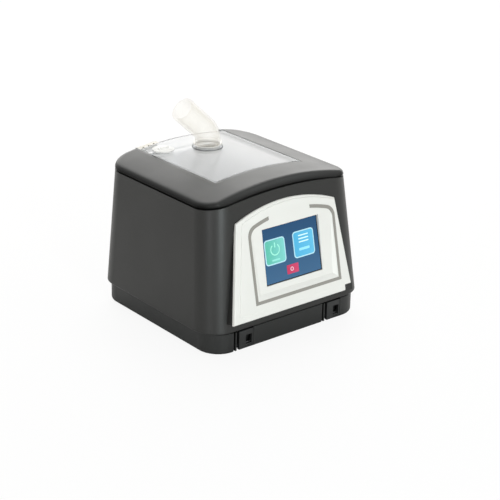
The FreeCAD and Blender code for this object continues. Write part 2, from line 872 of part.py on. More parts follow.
def round_top(edge):
    """True for an edge that runs round the outside of the crowned top."""
    if len(edge.Vertexes) < 2 or steep(edge):
        return False
    middle = edge.valueAt((edge.FirstParameter + edge.LastParameter) / 2)
    y = middle.y - number("shell_y")
    climb = number("crown_height - seam_height")
    half = number("shell_width / 2 + rim_overhang - 14") - number("side_lean") * climb
    front = number("shell_depth / 2 + rim_overhang - 14") - number("front_lean") * climb
    outside = abs(middle.x) > half or y < -front or y > front
    fold = y > number("-brow_start - brow_round") and edge.BoundBox.XLength > number("shell_width / 3")
    return outside and (y > 0 or not fold) and middle.z > number("crease_height - 10") - 4


# ---------------------------------------------------------------- base tray

def make_base_tray():
    """The tray under the seam, with posts for screws, boards and latches."""
    half = "shell_width / 2 - base_side_inset"
    back = "shell_depth / 2 - base_front_inset"
    body = plain_block("tray_outer", (f"-({half})", "-base_front", "foot_height"),
                       (half, back, "seam_height"), "base_corner_round")
    round_edges(body, level_at(number("foot_height")), "base_edge_round")
    hollow = plain_block("tray_hollow", (f"-({half} - wall)", "-base_front + wall", "floor_top"),
                         (f"{half} - wall", f"{back} - wall", "seam_height + 1"),
                         "base_corner_round - wall")
    core = plain_block("reveal_core",
                       (f"-({half} - reveal_depth)", "-base_front + reveal_depth", "foot_height - 1"),
                       (f"{half} - reveal_depth", f"{back} - reveal_depth", "seam_height + 2"),
                       "base_corner_round - reveal_depth")
    band = box("reveal_band", ("-shell_width", "-shell_depth", "seam_height - reveal_height"),
               ("shell_width", "shell_depth", "seam_height + 1"))
    reveal = cut("reveal", band, [core])
    tray = cut("tray_shell", body, [hollow, reveal])
    corners = four_corners("screw_spread_x", "screw_spread_y")
    posts = [upright(f"post_{index}", x, y, "post_radius", "foot_height + 0.5", "seam_height")
             for index, (x, y) in enumerate(corners)]
    blocks = latch_blocks("foot_height", "seam_height")
    inside = overlap("tray_inside", body, join("tray_fittings", posts + blocks + board_standoffs()))
    whole = join("tray_whole", [tray, inside])
    holes = []
    for index, (x, y) in enumerate(corners):
        holes.append(upright(f"post_hole_{index}", x, y, "screw_radius + 0.25",
                             "foot_height - 1", "seam_height + 1"))
        holes.append(upright(f"head_hole_{index}", x, y, "screw_head_radius + 0.3",
                             "foot_height - 1", "foot_height + screw_head_height + 0.8"))
    recessed = cut("tray_recessed", whole, holes + [reveal] + latch_recesses())
    ribs = overlap("tray_ribs", body, join("rib_group", latch_ribs()))
    ribbed = join("tray_ribbed", [recessed, ribs])
    hold("base_tray", cut("tray_cut", ribbed, latch_pin_holes()))


def latch_recesses():
    """The two recesses in the front of the tray, open at the bottom and top."""
    shapes = []
    for name, centre in latch_centres():
        low = (f"{centre} - latch_width / 2", "-base_front - 1", "foot_height - 1")
        high = (f"{centre} + latch_width / 2", "-latch_back", "seam_height + 1")
        shapes.append(box(f"latch_recess_{name}", low, high))
    return shapes


def latch_ribs():
    """An upright rib beside each lever, which holds the end of its pin."""
    shapes = []
    for name, centre in latch_centres():
        right = f"{centre} - lever_left - rib_space"
        low = (f"{right} - latch_rib", "-base_front + 0.6", "foot_height + 0.6")
        high = (right, "-latch_back + 0.5", "seam_height - lever_drop")
        shapes.append(box(f"latch_rib_{name}", low, high))
    return shapes


def latch_pin_line(name, centre, radius, short="0"):
    """The line of a latch pin, from its rib into the side of the recess."""
    start = f"{centre} - lever_left - rib_space - latch_rib * 0.7 + {short}"
    length = (f"lever_left + rib_space + latch_rib * 0.7 + latch_width / 2 + wall / 2"
              f" - 2 * {short}")
    return along_x(name, (start, "-latch_pin_y", "latch_pin_z"), radius, length)


def latch_pin_holes():
    """Holes for the latch pins in the tray."""
    return [latch_pin_line(f"pin_hole_{name}", centre, "latch_pin_radius + 0.02")
            for name, centre in latch_centres()]


def board_standoffs():
    """Short posts under the two boards."""
    shapes = []
    for name, front, depth in (("supply", "supply_front", "supply_depth"),
                               ("control", "control_front", "control_depth")):
        for index in range(4):
            x = "board_left + 5" if index < 2 else "board_left + board_width - 5"
            y = f"{front} + 5" if index % 2 else f"{front} + {depth} - 5"
            shapes.append(upright(f"standoff_{name}_{index}", x, y, "standoff_radius",
                                  "foot_height + 1", "board_bottom"))
    return shapes


def make_feet_and_screws():
    """Four rubber feet and four base screws, each set in one node."""
    feet = [upright(f"foot_{index}", x, y, "foot_radius", "0", "foot_height")
            for index, (x, y) in enumerate(four_corners("foot_spread_x", "foot_spread_y"))]
    hold("rubber_feet", join("feet_group", feet))
    screws = []
    for index, (x, y) in enumerate(four_corners("screw_spread_x", "screw_spread_y")):
        base = "foot_height + 0.8"
        head_top = f"{base} + screw_head_height"
        head = upright(f"screw_head_{index}", x, y, "screw_head_radius", base, head_top)
        shank = upright(f"screw_shank_{index}", x, y, "screw_radius", head_top,
                        f"{head_top} + screw_length")
        slot = box(f"screw_slot_{index}", (f"{x} - 2", f"{y} - 0.5", f"{base} - 1"),
                   (f"{x} + 2", f"{y} + 0.5", f"{base} + 1.1"))
        cross = box(f"screw_cross_{index}", (f"{x} - 0.5", f"{y} - 2", f"{base} - 1"),
                    (f"{x} + 0.5", f"{y} + 2", f"{base} + 1.1"))
        screws.append(cut(f"screw_{index}", join(f"screw_body_{index}", [head, shank]),
                          [slot, cross]))
    hold("cover_screws", join("screw_group", screws))


def make_latches():
    """Two levers, each on a steel pin, with a nub that snaps into the housing's tongue."""
    pins = []
    for name, centre in latch_centres():
        left = f"{centre} - lever_left"
        right = f"{centre} + lever_right"
        plate = box(f"lever_plate_{name}", (left, "-lever_front", "lever_bottom"),
                    (right, "-lever_back", "seam_height - lever_drop"))
        nub = box(f"lever_nub_{name}", (f"{left} + 2.5", "-lever_back - 0.5", "nub_bottom"),
                  (f"{right} - 2.5", "-lever_back + nub_reach", "nub_bottom + nub_height"))
        length = "lever_left + lever_right"
        eye = along_x(f"lever_eye_{name}", (left, "-latch_pin_y", "latch_pin_z"),
                      "latch_eye_radius", length)
        bore = along_x(f"lever_bore_{name}", (f"{left} - 1", "-latch_pin_y", "latch_pin_z"),
                       "latch_pin_radius + 0.05", f"{length} + 2")
        window = box(f"lever_window_{name}",
                     (f"{right} - 7.4", "-lever_front - 1", "lever_bottom + 1.6"),
                     (f"{right} - 1.2", "-latch_pin_y + latch_eye_radius + 0.5",
                      "nub_bottom - 2.2"))
        whole = join(f"lever_whole_{name}", [plate, nub, eye])
        hold(f"latch_clip_{name}", cut(f"lever_{name}", whole, [bore, window]))
        pins.append(latch_pin_line(f"latch_pin_{name}", centre, "latch_pin_radius", "0.1"))
    hold("latch_pins", join("pin_group", pins))


# ---------------------------------------------------------------- front panel

def panel_prism(name, depth, length, left="0", right="0", bottom="0", top="0"):
    """The arched outline of the panel, inset on each side, from one depth inwards."""
    body = doc.addObject("PartDesign::Body", name)
    panel_frame(body, depth=depth)
    sketch = new_sketch(body, "XZ_Plane")
    draw_arched(sketch, f"-(panel_left - panel_left_slant * ({bottom}) - ({left}))",
                f"panel_right - panel_right_slant * ({bottom}) - ({right})",
                f"panel_bottom + ({bottom})", f"panel_shoulder - ({top})",
                f"panel_arch_radius - ({top})",
                f"-(panel_top_left + panel_left_slant * ({top}) - ({left}))",
                f"panel_top_right + panel_right_slant * ({top}) - ({right})")
    feature = pad(body, sketch, length)
    feature.Reversed = True
    doc.recompute()
    return body


def panel_wedge():
    """The hollow wedge on the housing's front that carries the panel."""
    edge = "wedge_inset"
    block = panel_prism("wedge_block", "panel_back", "wedge_depth", edge, edge, edge, edge)
    inner = "wedge_inset + wall"
    hollow = panel_prism("wedge_hollow", "panel_back - 1", "wedge_depth + 2",
                         inner, inner, inner, inner)
    seat = leaning_block("wedge_seat", "wall / 3", "seam_height - 1", "crown_height + 5",
                         "corner_round - wall / 3")
    return cut("wedge", block, [hollow, seat])


def make_front_panel(housing_outer):
    """The white panel with an arched top: a plate with a raised field, dished round the screen."""
    plate = panel_prism("panel_plate", "0", "panel_back")
    round_edges(plate, front_edge_test, "panel_edge_round")
    field = panel_prism("panel_field", "-field_height", "field_height + 0.5",
                        "field_left", "field_right", "field_bottom", "field_top")
    round_edges(field, front_edge_test, "field_round")
    window = panel_box("screen_window",
                       ("screen_centre - screen_width / 2", "-field_height - 1", "screen_bottom"),
                       ("screen_centre + screen_width / 2", "panel_back + 1",
                        "screen_bottom + screen_height"))
    notch = corner_notch("panel_notch", "-field_height - 1", "panel_back + 1", "0")
    groove = line_body("line_groove", "line_sunk - field_height")
    whole = join("panel_whole", [plate, field])
    hold("front_panel", cut("panel_cut", whole,
                            [housing_outer, recess_body(), window, notch, groove]))
    hold("corner_block", corner_notch("corner_fill", "0.6", "panel_back", "0.15"))


def front_edge_test(edge):
    """True for the edges of the panel's own front face, in the body's own frame."""
    return abs(edge.BoundBox.YMin) < 1e-4 and abs(edge.BoundBox.YMax) < 1e-4


def recess_body():
    """The dish round the screen: sloping sides, and a floor that rises to nothing at the top."""
    out = "-(field_height + 1)"
    across = slab_across("recess_across", "XY_Plane",
                         [("-(recess_left + recess_flare)", out),
                          ("recess_right + recess_flare", out),
                          ("recess_right - recess_slope", "recess_depth"),
                          ("-(recess_left - recess_slope)", "recess_depth")])
    along = slab_across("recess_along", "YZ_Plane",
                        [(out, "recess_bottom - recess_flare"),
                         ("recess_depth", "recess_bottom + recess_slope"),
                         ("-field_height", "recess_top"), (out, "recess_top + 30")])
    return overlap("recess", panel_frame(across), panel_frame(along))


def corner_notch(name, face, back, gap):
    """The small square at the panel's lower right corner, held off by a gap."""
    return panel_box(name, (f"panel_right - notch_width + {gap}", face,
                            f"panel_bottom - 1 + 2 * {gap}"),
                     (f"panel_right + 1 - 3 * {gap}", back, f"panel_bottom + notch_height - {gap}"))


def line_body(name, sunk):
    """The thin line round the screen, left open at the top; sunk sets how deep it starts."""
    outer = line_outline(f"{name}_outer", "0", "0", sunk)
    inner = line_outline(f"{name}_inner", "line_width", "line_top_width", f"{sunk} + 1")
    gap = panel_box(f"{name}_gap", ("screen_centre - line_gap_width / 2", "-3", "recess_top"),
                    ("screen_centre + line_gap_width / 2", "5", "panel_shoulder + 20"))
    return cut(name, outer, [inner, gap])


def line_outline(name, inset, top, sunk):
    """The filled outline of the line, inset all round and at its top, from its bottom outwards."""
    body = doc.addObject("PartDesign::Body", name)
    panel_frame(body, depth=sunk)
    sketch = new_sketch(body, "XZ_Plane")
    draw_arched(sketch, f"-line_left + {inset}", f"line_right - ({inset})",
                f"line_bottom + {inset}", f"line_shoulder - {top}",
                f"line_arch_radius - {top}")
    pad(body, sketch, "line_height" if inset == "0" else "line_height + 2")
    shoulder = number(f"line_shoulder - {top}")
    round_edges(body, lambda edge: (edge.BoundBox.YLength > 0.1
                                    and abs(edge.BoundBox.ZMin - shoulder) < 0.1),
                f"line_round - ({inset}) / 2")
    return body


def make_display():
    """Grey line, glass, display module and its board, all in the panel's plane."""
    hold("frame_line", line_body("line_inlay", "line_sunk - field_height"))
    left = "screen_centre - screen_width / 2"
    right = "screen_centre + screen_width / 2"
    top = "screen_bottom + screen_height"
    hold("touch_glass", panel_box("glass",
                                  (f"{left} + 0.2", "panel_back - glass_thick - 0.05",
                                   "screen_bottom + 0.2"),
                                  (f"{right} - 0.2", "panel_back - 0.05", f"{top} - 0.2")))
    module_back = "panel_back + lcd_thick"
    hold("lcd_module", panel_box("lcd",
                                 (f"{left} - lcd_margin", "panel_back",
                                  "screen_bottom - lcd_margin"),
                                 (f"{right} + lcd_margin", module_back, f"{top} + lcd_margin")))
    board = panel_box("screen_board",
                      (f"{left} - lcd_margin", module_back, "screen_bottom - lcd_margin"),
                      (f"{right} + lcd_margin", f"{module_back} + board_thick",
                       f"{top} + lcd_margin"))
    connector = panel_box("screen_connector",
                          ("screen_centre - 12", f"{module_back} + board_thick - 0.1",
                           "screen_bottom + 4"),
                          ("screen_centre + 12", f"{module_back} + board_thick + 3",
                           "screen_bottom + 9"))
    chip = panel_box("screen_chip",
                     ("screen_centre - 24", f"{module_back} + board_thick - 0.1",
                      "screen_bottom + 20"),
                     ("screen_centre - 10", f"{module_back} + board_thick + 1.4",
                      "screen_bottom + 34"))
    hold("display_board", join("display_board_whole", [board, connector, chip]))


# ---------------------------------------------------------------- humidifier

def make_bay_liner():
    """The white well that the chamber stands in, hung by its shelf from the rim."""
    outer = plain_block("bay_outer", ("-bay_half", "-bay_front", "bay_floor"),
                        ("bay_half", "bay_rear", "bay_shelf"), "tub_round + bay_wall")
    shelf = plain_block("bay_flange",
                        ("-bay_half - bay_shelf_reach", "-bay_front - bay_shelf_reach",
                         "shelf_bottom"),
                        ("bay_half + bay_shelf_reach", "bay_rear", "bay_shelf"), "tub_round")
    hollow = plain_block("bay_hollow",
                         ("-bay_half + bay_wall", "-bay_front + bay_wall", "bay_floor + bay_wall"),
                         ("bay_half - bay_wall", "bay_rear - bay_wall / 2", "bay_shelf + 1"),
                         "tub_round")
    window = box("heater_hole",
                 ("-heater_width / 2 - 0.5", "-heater_front - 0.5", "bay_floor - 1"),
                 ("heater_width / 2 + 0.5", "heater_rear + 0.5", "bay_floor + bay_wall + 1"))
    air_hole = along_y("bay_air_hole", ("inlet_x", "-bay_front - 5", "inlet_z"),
                       "inlet_seal_radius + 0.05", "bay_wall + 8")
    whole = join("bay_whole", [outer, shelf])
    hold("bay_liner", cut("bay_cut", whole, [hollow, window, air_hole]))


def make_heater():
    """The heater plate in the floor of the bay, and the gasket under its flange."""
    top = box("heater_block", ("-heater_width / 2", "-heater_front", "bay_floor - gasket_thick - 1"),
              ("heater_width / 2", "heater_rear", "heater_top"))
    flange_low = ("-heater_width / 2 - heater_flange", "-heater_front - heater_flange",
                  "bay_floor - gasket_thick - heater_flange_thick")
    flange_high = ("heater_width / 2 + heater_flange", "heater_rear + heater_flange",
                   "bay_floor - gasket_thick")
    flange = box("heater_foot", flange_low, flange_high)
    hold("heater_plate", join("heater_whole", [top, flange]))
    sheet_low = (flange_low[0], flange_low[1], "bay_floor - gasket_thick")
    sheet_high = (flange_high[0], flange_high[1], "bay_floor")
    ring = box("gasket_sheet", sheet_low, sheet_high)
    hole = box("gasket_hole", ("-heater_width / 2 - 0.5", "-heater_front - 0.5", "bay_floor - 3"),
               ("heater_width / 2 + 0.5", "heater_rear + 0.5", "bay_floor + 1"))
    hold("heater_gasket", cut("gasket_cut", ring, [hole]))


def tapered_tub(name, inset, bottom, top):
    """A block with the tub's tapered sides, inset all round."""
    def level(height):
        taper = f"tub_taper * (flange_top - ({height})) / (flange_top - tub_floor)"
        return (f"tub_half - {taper} - ({inset})", f"-(tub_front - {taper} - ({inset}))",
                f"tub_rear - {taper} - ({inset})")
    return sloped_block(name, level, bottom, top, f"tub_round - ({inset})")


def make_water_tub():
    """The clear tub with a flange that rests on the shelf of the bay."""
    outer = tapered_tub("tub_outer", "0", "tub_floor", "flange_top")
    flange = plain_block("tub_rim", ("-lid_width / 2", "-lid_front", "flange_bottom"),
                         ("lid_width / 2", "lid_rear - 0.3", "flange_top"), "3")
    hollow = tapered_tub("tub_hollow", "tub_wall", "tub_floor + tub_wall", "flange_top + 1")
    window = box("tub_floor_hole",
                 ("-heater_width / 2 + metal_base_edge", "-heater_front + metal_base_edge",
                  "tub_floor - 1"),
                 ("heater_width / 2 - metal_base_edge", "heater_rear - metal_base_edge",
                  "tub_floor + tub_wall + 1"))
    air_hole = along_y("tub_air_hole", ("inlet_x", "-tub_front - 5", "inlet_z"),
                       "inlet_bore", "tub_wall + 8")
    whole = join("tub_whole", [outer, flange])
    hold("water_tub", cut("tub_cut", whole, [hollow, window, air_hole]))
    plate = plain_block("metal_base",
                        ("-heater_width / 2", "-heater_front", "tub_floor - metal_base_thick"),
                        ("heater_width / 2", "heater_rear", "tub_floor"), "4")
    hold("chamber_base", plate)


def lid_form(name, inset):
    """The lid's outer or inner form: a crowned block with a wide round at the back."""
    bottom = "lid_bottom" if inset == "0" else "lid_bottom - 1"
    block = box(f"{name}_block", (f"-lid_width / 2 + {inset}", f"-lid_front + {inset}", bottom),
                (f"lid_width / 2 - {inset}", f"lid_rear - {inset}", "crown_height + 10"))
    crown = top_cylinder(f"{name}_crown", f"crown_radius - {inset}", "crown_centre")
    crowned = overlap(f"{name}_crowned", block, crown)
    doc.recompute()
    rear = number(f"lid_rear - {inset} + shell_y")
    top = number("crown_height - 8")
    rounded = round_some(f"{name}_rounded", crowned, f"lid_rear_round - {inset}",
                         lambda edge: all(abs(point.Y - rear) < 0.01 and point.Z > top
                                          for point in edge.Vertexes))
    if inset != "0":
        return rounded
    low = number("lid_bottom + 0.01")
    return round_some(f"{name}_eased", rounded, "lid_edge_round",
                      lambda edge: max(point.Z for point in edge.Vertexes) > low)


def make_chamber_lid():
    """The clear lid with its port collar, drop tube and filler boss, and the seal under it."""
    outer = lid_form("lid_outer", "0")
    inner = lid_form("lid_inner", "lid_wall")
    shell = cut("lid_shell", outer, [inner])
    collar = upright("collar", "0", "port_y", "collar_radius", "collar_bottom", "collar_top")
    drop = upright("drop_tube", "0", "port_y", "tube_radius", "drop_tube_bottom", "port_seat")
    boss = upright("filler_boss", "plug_x", "plug_y", "plug_rim", "plug_rim_bottom - plug_depth",
                   "plug_rim_bottom - 0.1")
    whole = join("lid_whole", [shell, collar, drop, boss])
    upper_bore = upright("upper_bore", "0", "port_y", "tube_radius + swivel_gap", "port_seat",
                         "collar_top + 1")
    lower_bore = upright("lower_bore", "0", "port_y", "tube_bore", "drop_tube_bottom - 1",
                         "port_seat + 1")
    filler = upright("filler_hole", "plug_x", "plug_y", "plug_radius",
                     "plug_rim_bottom - plug_depth - 1", "plug_top + 5")
    seat = upright("filler_seat", "plug_x", "plug_y", "plug_rim + shelf_gap / 2",
                   "plug_rim_bottom - 0.1", "plug_top + 5")
    hold("chamber_lid", cut("lid_cut", whole, [upper_bore, lower_bore, filler, seat]))
    seal_outer = plain_block("seal_outer",
                             ("-lid_width / 2 + 0.1", "-lid_front + 0.1", "flange_top"),
                             ("lid_width / 2 - 0.1", "lid_rear - 0.4", "lid_bottom"), "3")
    seal_inner = plain_block("seal_inner",
                             ("-lid_width / 2 + seal_width", "-lid_front + seal_width",
                              "flange_top - 1"),
                             ("lid_width / 2 - seal_width", "lid_rear - seal_width",
                              "lid_bottom + 1"), "2")
    hold("lid_seal", cut("seal_cut", seal_outer, [seal_inner]))
    return outer


def make_lid_fittings(lid_outer):
    """The filler plug and the ribbed white tab that lifts the lid."""
    rim = upright("plug_flange", "plug_x", "plug_y", "plug_rim", "plug_rim_bottom", "plug_top")
    stem = upright("plug_stem", "plug_x", "plug_y", "plug_radius - plug_gap",
                   "plug_rim_bottom - plug_depth + 1", "plug_rim_bottom + 0.5")
    hollow = upright("plug_hollow", "plug_x", "plug_y", "plug_radius - boss_wall",
                     "plug_rim_bottom - plug_depth", "plug_rim_bottom - 0.4")
    grip = box("plug_grip", ("plug_x - 5", "plug_y - 0.9", "plug_top - 0.1"),
               ("plug_x + 5", "plug_y + 0.9", "plug_top + 1.4"))
    whole = join("plug_whole", [rim, stem, grip])
    hold("filler_plug", cut("plug_cut", whole, [hollow]))
    block = plain_block("tab_block", ("-tab_left", "tab_front", "collar_bottom - 4"),
                        ("-tab_right", "lid_rear", "crown_height + 4"), "1.5")
    crowned = overlap("tab_crowned", block,
                      top_cylinder("tab_crown", "crown_radius - tab_sink", "crown_centre"))
    slots = []
    for index in (1, 2, 3):
        middle = f"-tab_left + (tab_left - tab_right) * {index} / 4"
        slots.append(box(f"tab_slot_{index}",
                         (f"{middle} - tab_slot / 2", "tab_front - 1", "collar_bottom - 5"),
                         (f"{middle} + tab_slot / 2", "tab_front + tab_slot_depth",
                          "crown_height + 5")))
    hold("lift_tab", cut("tab_cut", crowned, [lid_outer] + slots))


def make_outlet_elbow():
    """The clear swivelling elbow: one tube bent to the side, with a bead above its collar."""
    body = new_body("elbow")
    place(body, "0", "port_y", "0")
    path = new_sketch(body, "XZ_Plane")
    out = "cos(elbow_angle * 1 deg)"
    up = "sin(elbow_angle * 1 deg)"
    turn_out = (f"elbow_bend_radius * ({out} - 1)", f"elbow_turn + elbow_bend_radius * {up}")
    tip = (f"{turn_out[0]} - elbow_run * {up}", f"{turn_out[1]} + elbow_run * {out}")
    spots = [("0", "port_seat"), ("0", "elbow_turn"), turn_out, tip]
    real = [Vector(number(x), number(y), 0) for x, y in spots]
    bend = Part.Circle(Vector(-number("elbow_bend_radius"), real[1].y, 0), Vector(0, 0, 1),
                       number("elbow_bend_radius"))
    path.addGeometry(Part.LineSegment(real[0], real[1]), False)
    path.addGeometry(Part.ArcOfCircle(bend, 0, math.radians(number("elbow_angle"))), False)
    path.addGeometry(Part.LineSegment(real[2], real[3]), False)
    pin_point(path, 0, 1, *spots[0])
    pin_point(path, 0, 2, *spots[1])
    pin_point(path, 2, 1, *spots[2])
    pin_point(path, 2, 2, *spots[3])
    path.addConstraint(Sketcher.Constraint("Coincident", 0, 2, 1, 1))
    path.addConstraint(Sketcher.Constraint("Coincident", 1, 2, 2, 1))
    fix_radius(path, 1, "elbow_bend_radius")
    doc.recompute()
    for kind, radius in (("PartDesign::AdditivePipe", "tube_radius"),
                         ("PartDesign::SubtractivePipe", "tube_bore")):
        ring = new_sketch(body, lift="port_seat")
        draw_circle(ring, "0", "0", radius)
        doc.recompute()
        pipe = body.newObject(kind, "pipe")
        pipe.Profile = ring
        pipe.Spine = (path, ["Edge1", "Edge2", "Edge3"])
        doc.recompute()
    bead_bottom = "collar_top + 0.3"
    bead = upright("bead", "0", "port_y", "bead_radius", bead_bottom,
                   f"{bead_bottom} + bead_height")
    bead_bore = upright("bead_bore", "0", "port_y", "(tube_radius + tube_bore) / 2",
                        bead_bottom + " - 1", f"{bead_bottom} + bead_height + 1")
    ring = cut("bead_ring", bead, [bead_bore])
    hold("outlet_elbow", join("elbow_whole", [body, ring]))


# ---------------------------------------------------------------- air path and blower

def scroll_solid(inset, end, height):
    """The blower's scroll seen from above, four quarter arcs with the outlet beside them."""
    grow = number("scroll_growth")
    first = number("scroll_radius") - inset
    low = -grow / 2
    centres = [Vector(low, low, 0), Vector(low, low + grow, 0),
               Vector(low + grow, low + grow, 0), Vector(low + grow, low, 0)]
    edges = []
    for index, centre in enumerate(centres):
        radius = first + grow * index
        start = math.radians(-90 * index)
        angles = (start, start - math.pi / 4, start - math.pi / 2)
        spots = [centre + Vector(math.cos(a), math.sin(a), 0) * radius for a in angles]
        edges.append(Part.Arc(*spots).toShape())
    right = edges[3].Vertexes[-1].Point
    left = edges[0].Vertexes[0].Point
    edges.append(Part.LineSegment(right, left).toShape())
    scroll = Part.Face(Part.Wire(edges)).extrude(Vector(0, 0, height))
    width = number("outlet_width") - 2 * inset
    outlet = Part.makeBox(width, end + grow, height, Vector(right.x - width, -end, 0))
    return scroll.fuse(outlet).removeSplitter()


def at_blower(shape, height):
    """Move a shape to the blower's axis, its bottom at a height."""
    shape.translate(Vector(number("blower_x"), number("blower_y + shell_y"), height))
    return shape


def make_blower():
    """Scroll housing with its cover, motor, rubber mounts, shaft and bladed wheel."""
    bottom = number("blower_bottom")
    wall = number("blower_wall")
    height = number("blower_height")
    end = number("outlet_end")
    outer = as_solid("scroll_outer", at_blower(scroll_solid(0, end, height), bottom))
    inner = as_solid("scroll_inner", at_blower(scroll_solid(wall, end - wall, height), bottom + wall))
    outlet = along_y("outlet_hole", ("inlet_x", "blower_y - outlet_end - 1", "duct_low"),
                     "duct_radius + 0.05", "blower_wall + 2")
    hold("blower_housing", cut("scroll", outer, [inner, outlet]))
    lid = scroll_solid(0, end, number("cover_thick"))
    lid = as_solid("scroll_lid", at_blower(lid, number("blower_top")))
    eye = upright("eye", "blower_x", "blower_y", "eye_radius", "blower_top - 1",
                  "blower_top + cover_thick + 1")
    ring = upright("eye_ring", "blower_x", "blower_y", "eye_radius + 2", "blower_top",
                   "blower_top + cover_thick + 2")
    eye_deep = upright("eye_deep", "blower_x", "blower_y", "eye_radius", "blower_top - 1",
                       "blower_top + cover_thick + 3")
    hold("blower_cover", join("cover_whole", [cut("cover_cut", lid, [eye]),
                                              cut("ring_cut", ring, [eye_deep])]))
    floor = "blower_bottom + blower_wall"
    can = upright("motor_can", "blower_x", "blower_y", "motor_radius", floor,
                  f"{floor} + motor_height")
    bore = upright("motor_bore", "blower_x", "blower_y", "shaft_radius + shaft_gap",
                   f"{floor} + 1", f"{floor} + motor_height + 1")
    hold("blower_motor", cut("motor", can, [bore]))
    mounts = [upright(f"mount_{index}", f"blower_x + {x}", f"blower_y + {y}", "mount_radius",
                      "floor_top", "blower_bottom")
              for index, (x, y) in enumerate(four_corners("mount_ring * 0.7", "mount_ring * 0.7"))]
    hold("blower_mounts", join("mount_group", mounts))
    shaft = upright("shaft", "blower_x", "blower_y", "shaft_radius", f"{floor} + 2",
                    "wheel_bottom + wheel_height - 2")
    hold("motor_shaft", shaft)
    make_impeller()


def make_impeller():
    """The wheel: a back plate with a hub, and swept-back blades in a polar pattern."""
    body = new_body("wheel")
    place(body, "blower_x", "blower_y", "0")
    plate = new_sketch(body, lift="wheel_bottom")
    draw_circle(plate, "0", "0", "wheel_radius")
    pad(body, plate, "wheel_plate")
    hub = new_sketch(body, lift="wheel_bottom")
    draw_circle(hub, "0", "0", "hub_radius")
    pad(body, hub, "wheel_height - 1")
    blade = new_sketch(body, lift="wheel_bottom")
    inner, outer = "blade_root", "(wheel_radius - 0.3)"
    turns = [(inner, "0"), (outer, "blade_sweep"),
             (outer, "blade_sweep + blade_thick / wheel_radius * 57.3"),
             (inner, "blade_thick / blade_root * 57.3")]
    points = [(f"{radius} * cos(({turn}) * 1 deg)", f"{radius} * sin(({turn}) * 1 deg)")
              for radius, turn in turns]
    spots = [Vector(number(x), number(y), 0) for x, y in points]
    radius = number("blade_arc_radius")
    blade.addGeometry(arc_through(spots[0], spots[1], radius), False)
    blade.addGeometry(Part.LineSegment(spots[1], spots[2]), False)
    blade.addGeometry(arc_through(spots[3], spots[2], radius), False)
    blade.addGeometry(Part.LineSegment(spots[3], spots[0]), False)
    for first, end, second, start in ((0, 2, 1, 1), (1, 2, 2, 2), (2, 1, 3, 1), (3, 2, 0, 1)):
        blade.addConstraint(Sketcher.Constraint("Coincident", first, end, second, start))
    pin_point(blade, 0, 1, *points[0])
    pin_point(blade, 0, 2, *points[1])
    pin_point(blade, 2, 2, *points[2])
    pin_point(blade, 2, 1, *points[3])
    fix_radius(blade, 0, "blade_arc_radius")
    fix_radius(blade, 2, "blade_arc_radius")
    feature = pad(body, blade, "wheel_height")
    pattern = body.newObject("PartDesign::PolarPattern", "blades")
    pattern.Originals = [feature]
    pattern.Axis = (blade, ["N_Axis"])
    pattern.Angle = 360
    bind(pattern, Occurrences="blade_count")
    body.Tip = pattern
    doc.recompute()
    bore = new_sketch(body, lift="wheel_bottom + wheel_height")
    draw_circle(bore, "0", "0", "shaft_radius")
    cut_pocket(body, bore, "wheel_height + 1")
    hold("impeller", body)


def make_air_duct():
    """The duct from the blower's outlet up to the bay, and the seal at its end."""
    body = new_body("duct")
    place(body, "inlet_x", "0", "0")
    path = new_sketch(body, "YZ_Plane")
    low = "duct_low"
    spots = [("-duct_start", low), ("-duct_y + duct_bend", low), ("-duct_y", f"{low} + duct_bend"),
             ("-duct_y", "inlet_z - duct_bend"), ("-duct_y + duct_bend", "inlet_z"),
             ("-bay_front - 1.6", "inlet_z")]
    real = [Vector(number(x), number(y), 0) for x, y in spots]
    bend = number("duct_bend")
    lower = Part.Circle(Vector(real[1].x, real[1].y + bend, 0), Vector(0, 0, 1), bend)
    upper = Part.Circle(Vector(real[4].x, real[3].y, 0), Vector(0, 0, 1), bend)
    quarter = math.pi / 2
    path.addGeometry(Part.LineSegment(real[0], real[1]), False)
    path.addGeometry(Part.ArcOfCircle(lower, 2 * quarter, 3 * quarter), False)
    path.addGeometry(Part.LineSegment(real[2], real[3]), False)
    path.addGeometry(Part.ArcOfCircle(upper, quarter, 2 * quarter), False)
    path.addGeometry(Part.LineSegment(real[4], real[5]), False)
    pin_point(path, 0, 1, *spots[0])
    pin_point(path, 0, 2, *spots[1])
    pin_point(path, 2, 1, *spots[2])
    pin_point(path, 2, 2, *spots[3])
    pin_point(path, 4, 1, *spots[4])
    pin_point(path, 4, 2, *spots[5])
    for joined in ((0, 2, 1, 2), (1, 1, 2, 1), (2, 2, 3, 2), (3, 1, 4, 1)):
        path.addConstraint(Sketcher.Constraint("Coincident", *joined))
    fix_radius(path, 1, "duct_bend")
    fix_radius(path, 3, "duct_bend")
    doc.recompute()
    for kind, radius in (("PartDesign::AdditivePipe", "duct_radius"),
                         ("PartDesign::SubtractivePipe", "duct_radius - duct_wall")):
        ring = new_sketch(body, "XZ_Plane", lift="duct_start")
        draw_circle(ring, "0", low, radius)
        doc.recompute()
        pipe = body.newObject(kind, "pipe")
        pipe.Profile = ring
        pipe.Spine = (path, ["Edge1", "Edge2", "Edge3", "Edge4", "Edge5"])
        doc.recompute()
    hold("air_duct", body)
    start = ("inlet_x", "-bay_front - 1.6", "inlet_z")
    length = "1.6 + bay_wall + tub_gap - seal_gap"
    sleeve = along_y("seal_sleeve", start, "inlet_seal_radius", length)
    bore = along_y("seal_bore", ("inlet_x", "-bay_front - 5", "inlet_z"), "inlet_bore", "12")
    hold("inlet_seal", cut("inlet_seal_cut", sleeve, [bore]))


# ---------------------------------------------------------------- boards

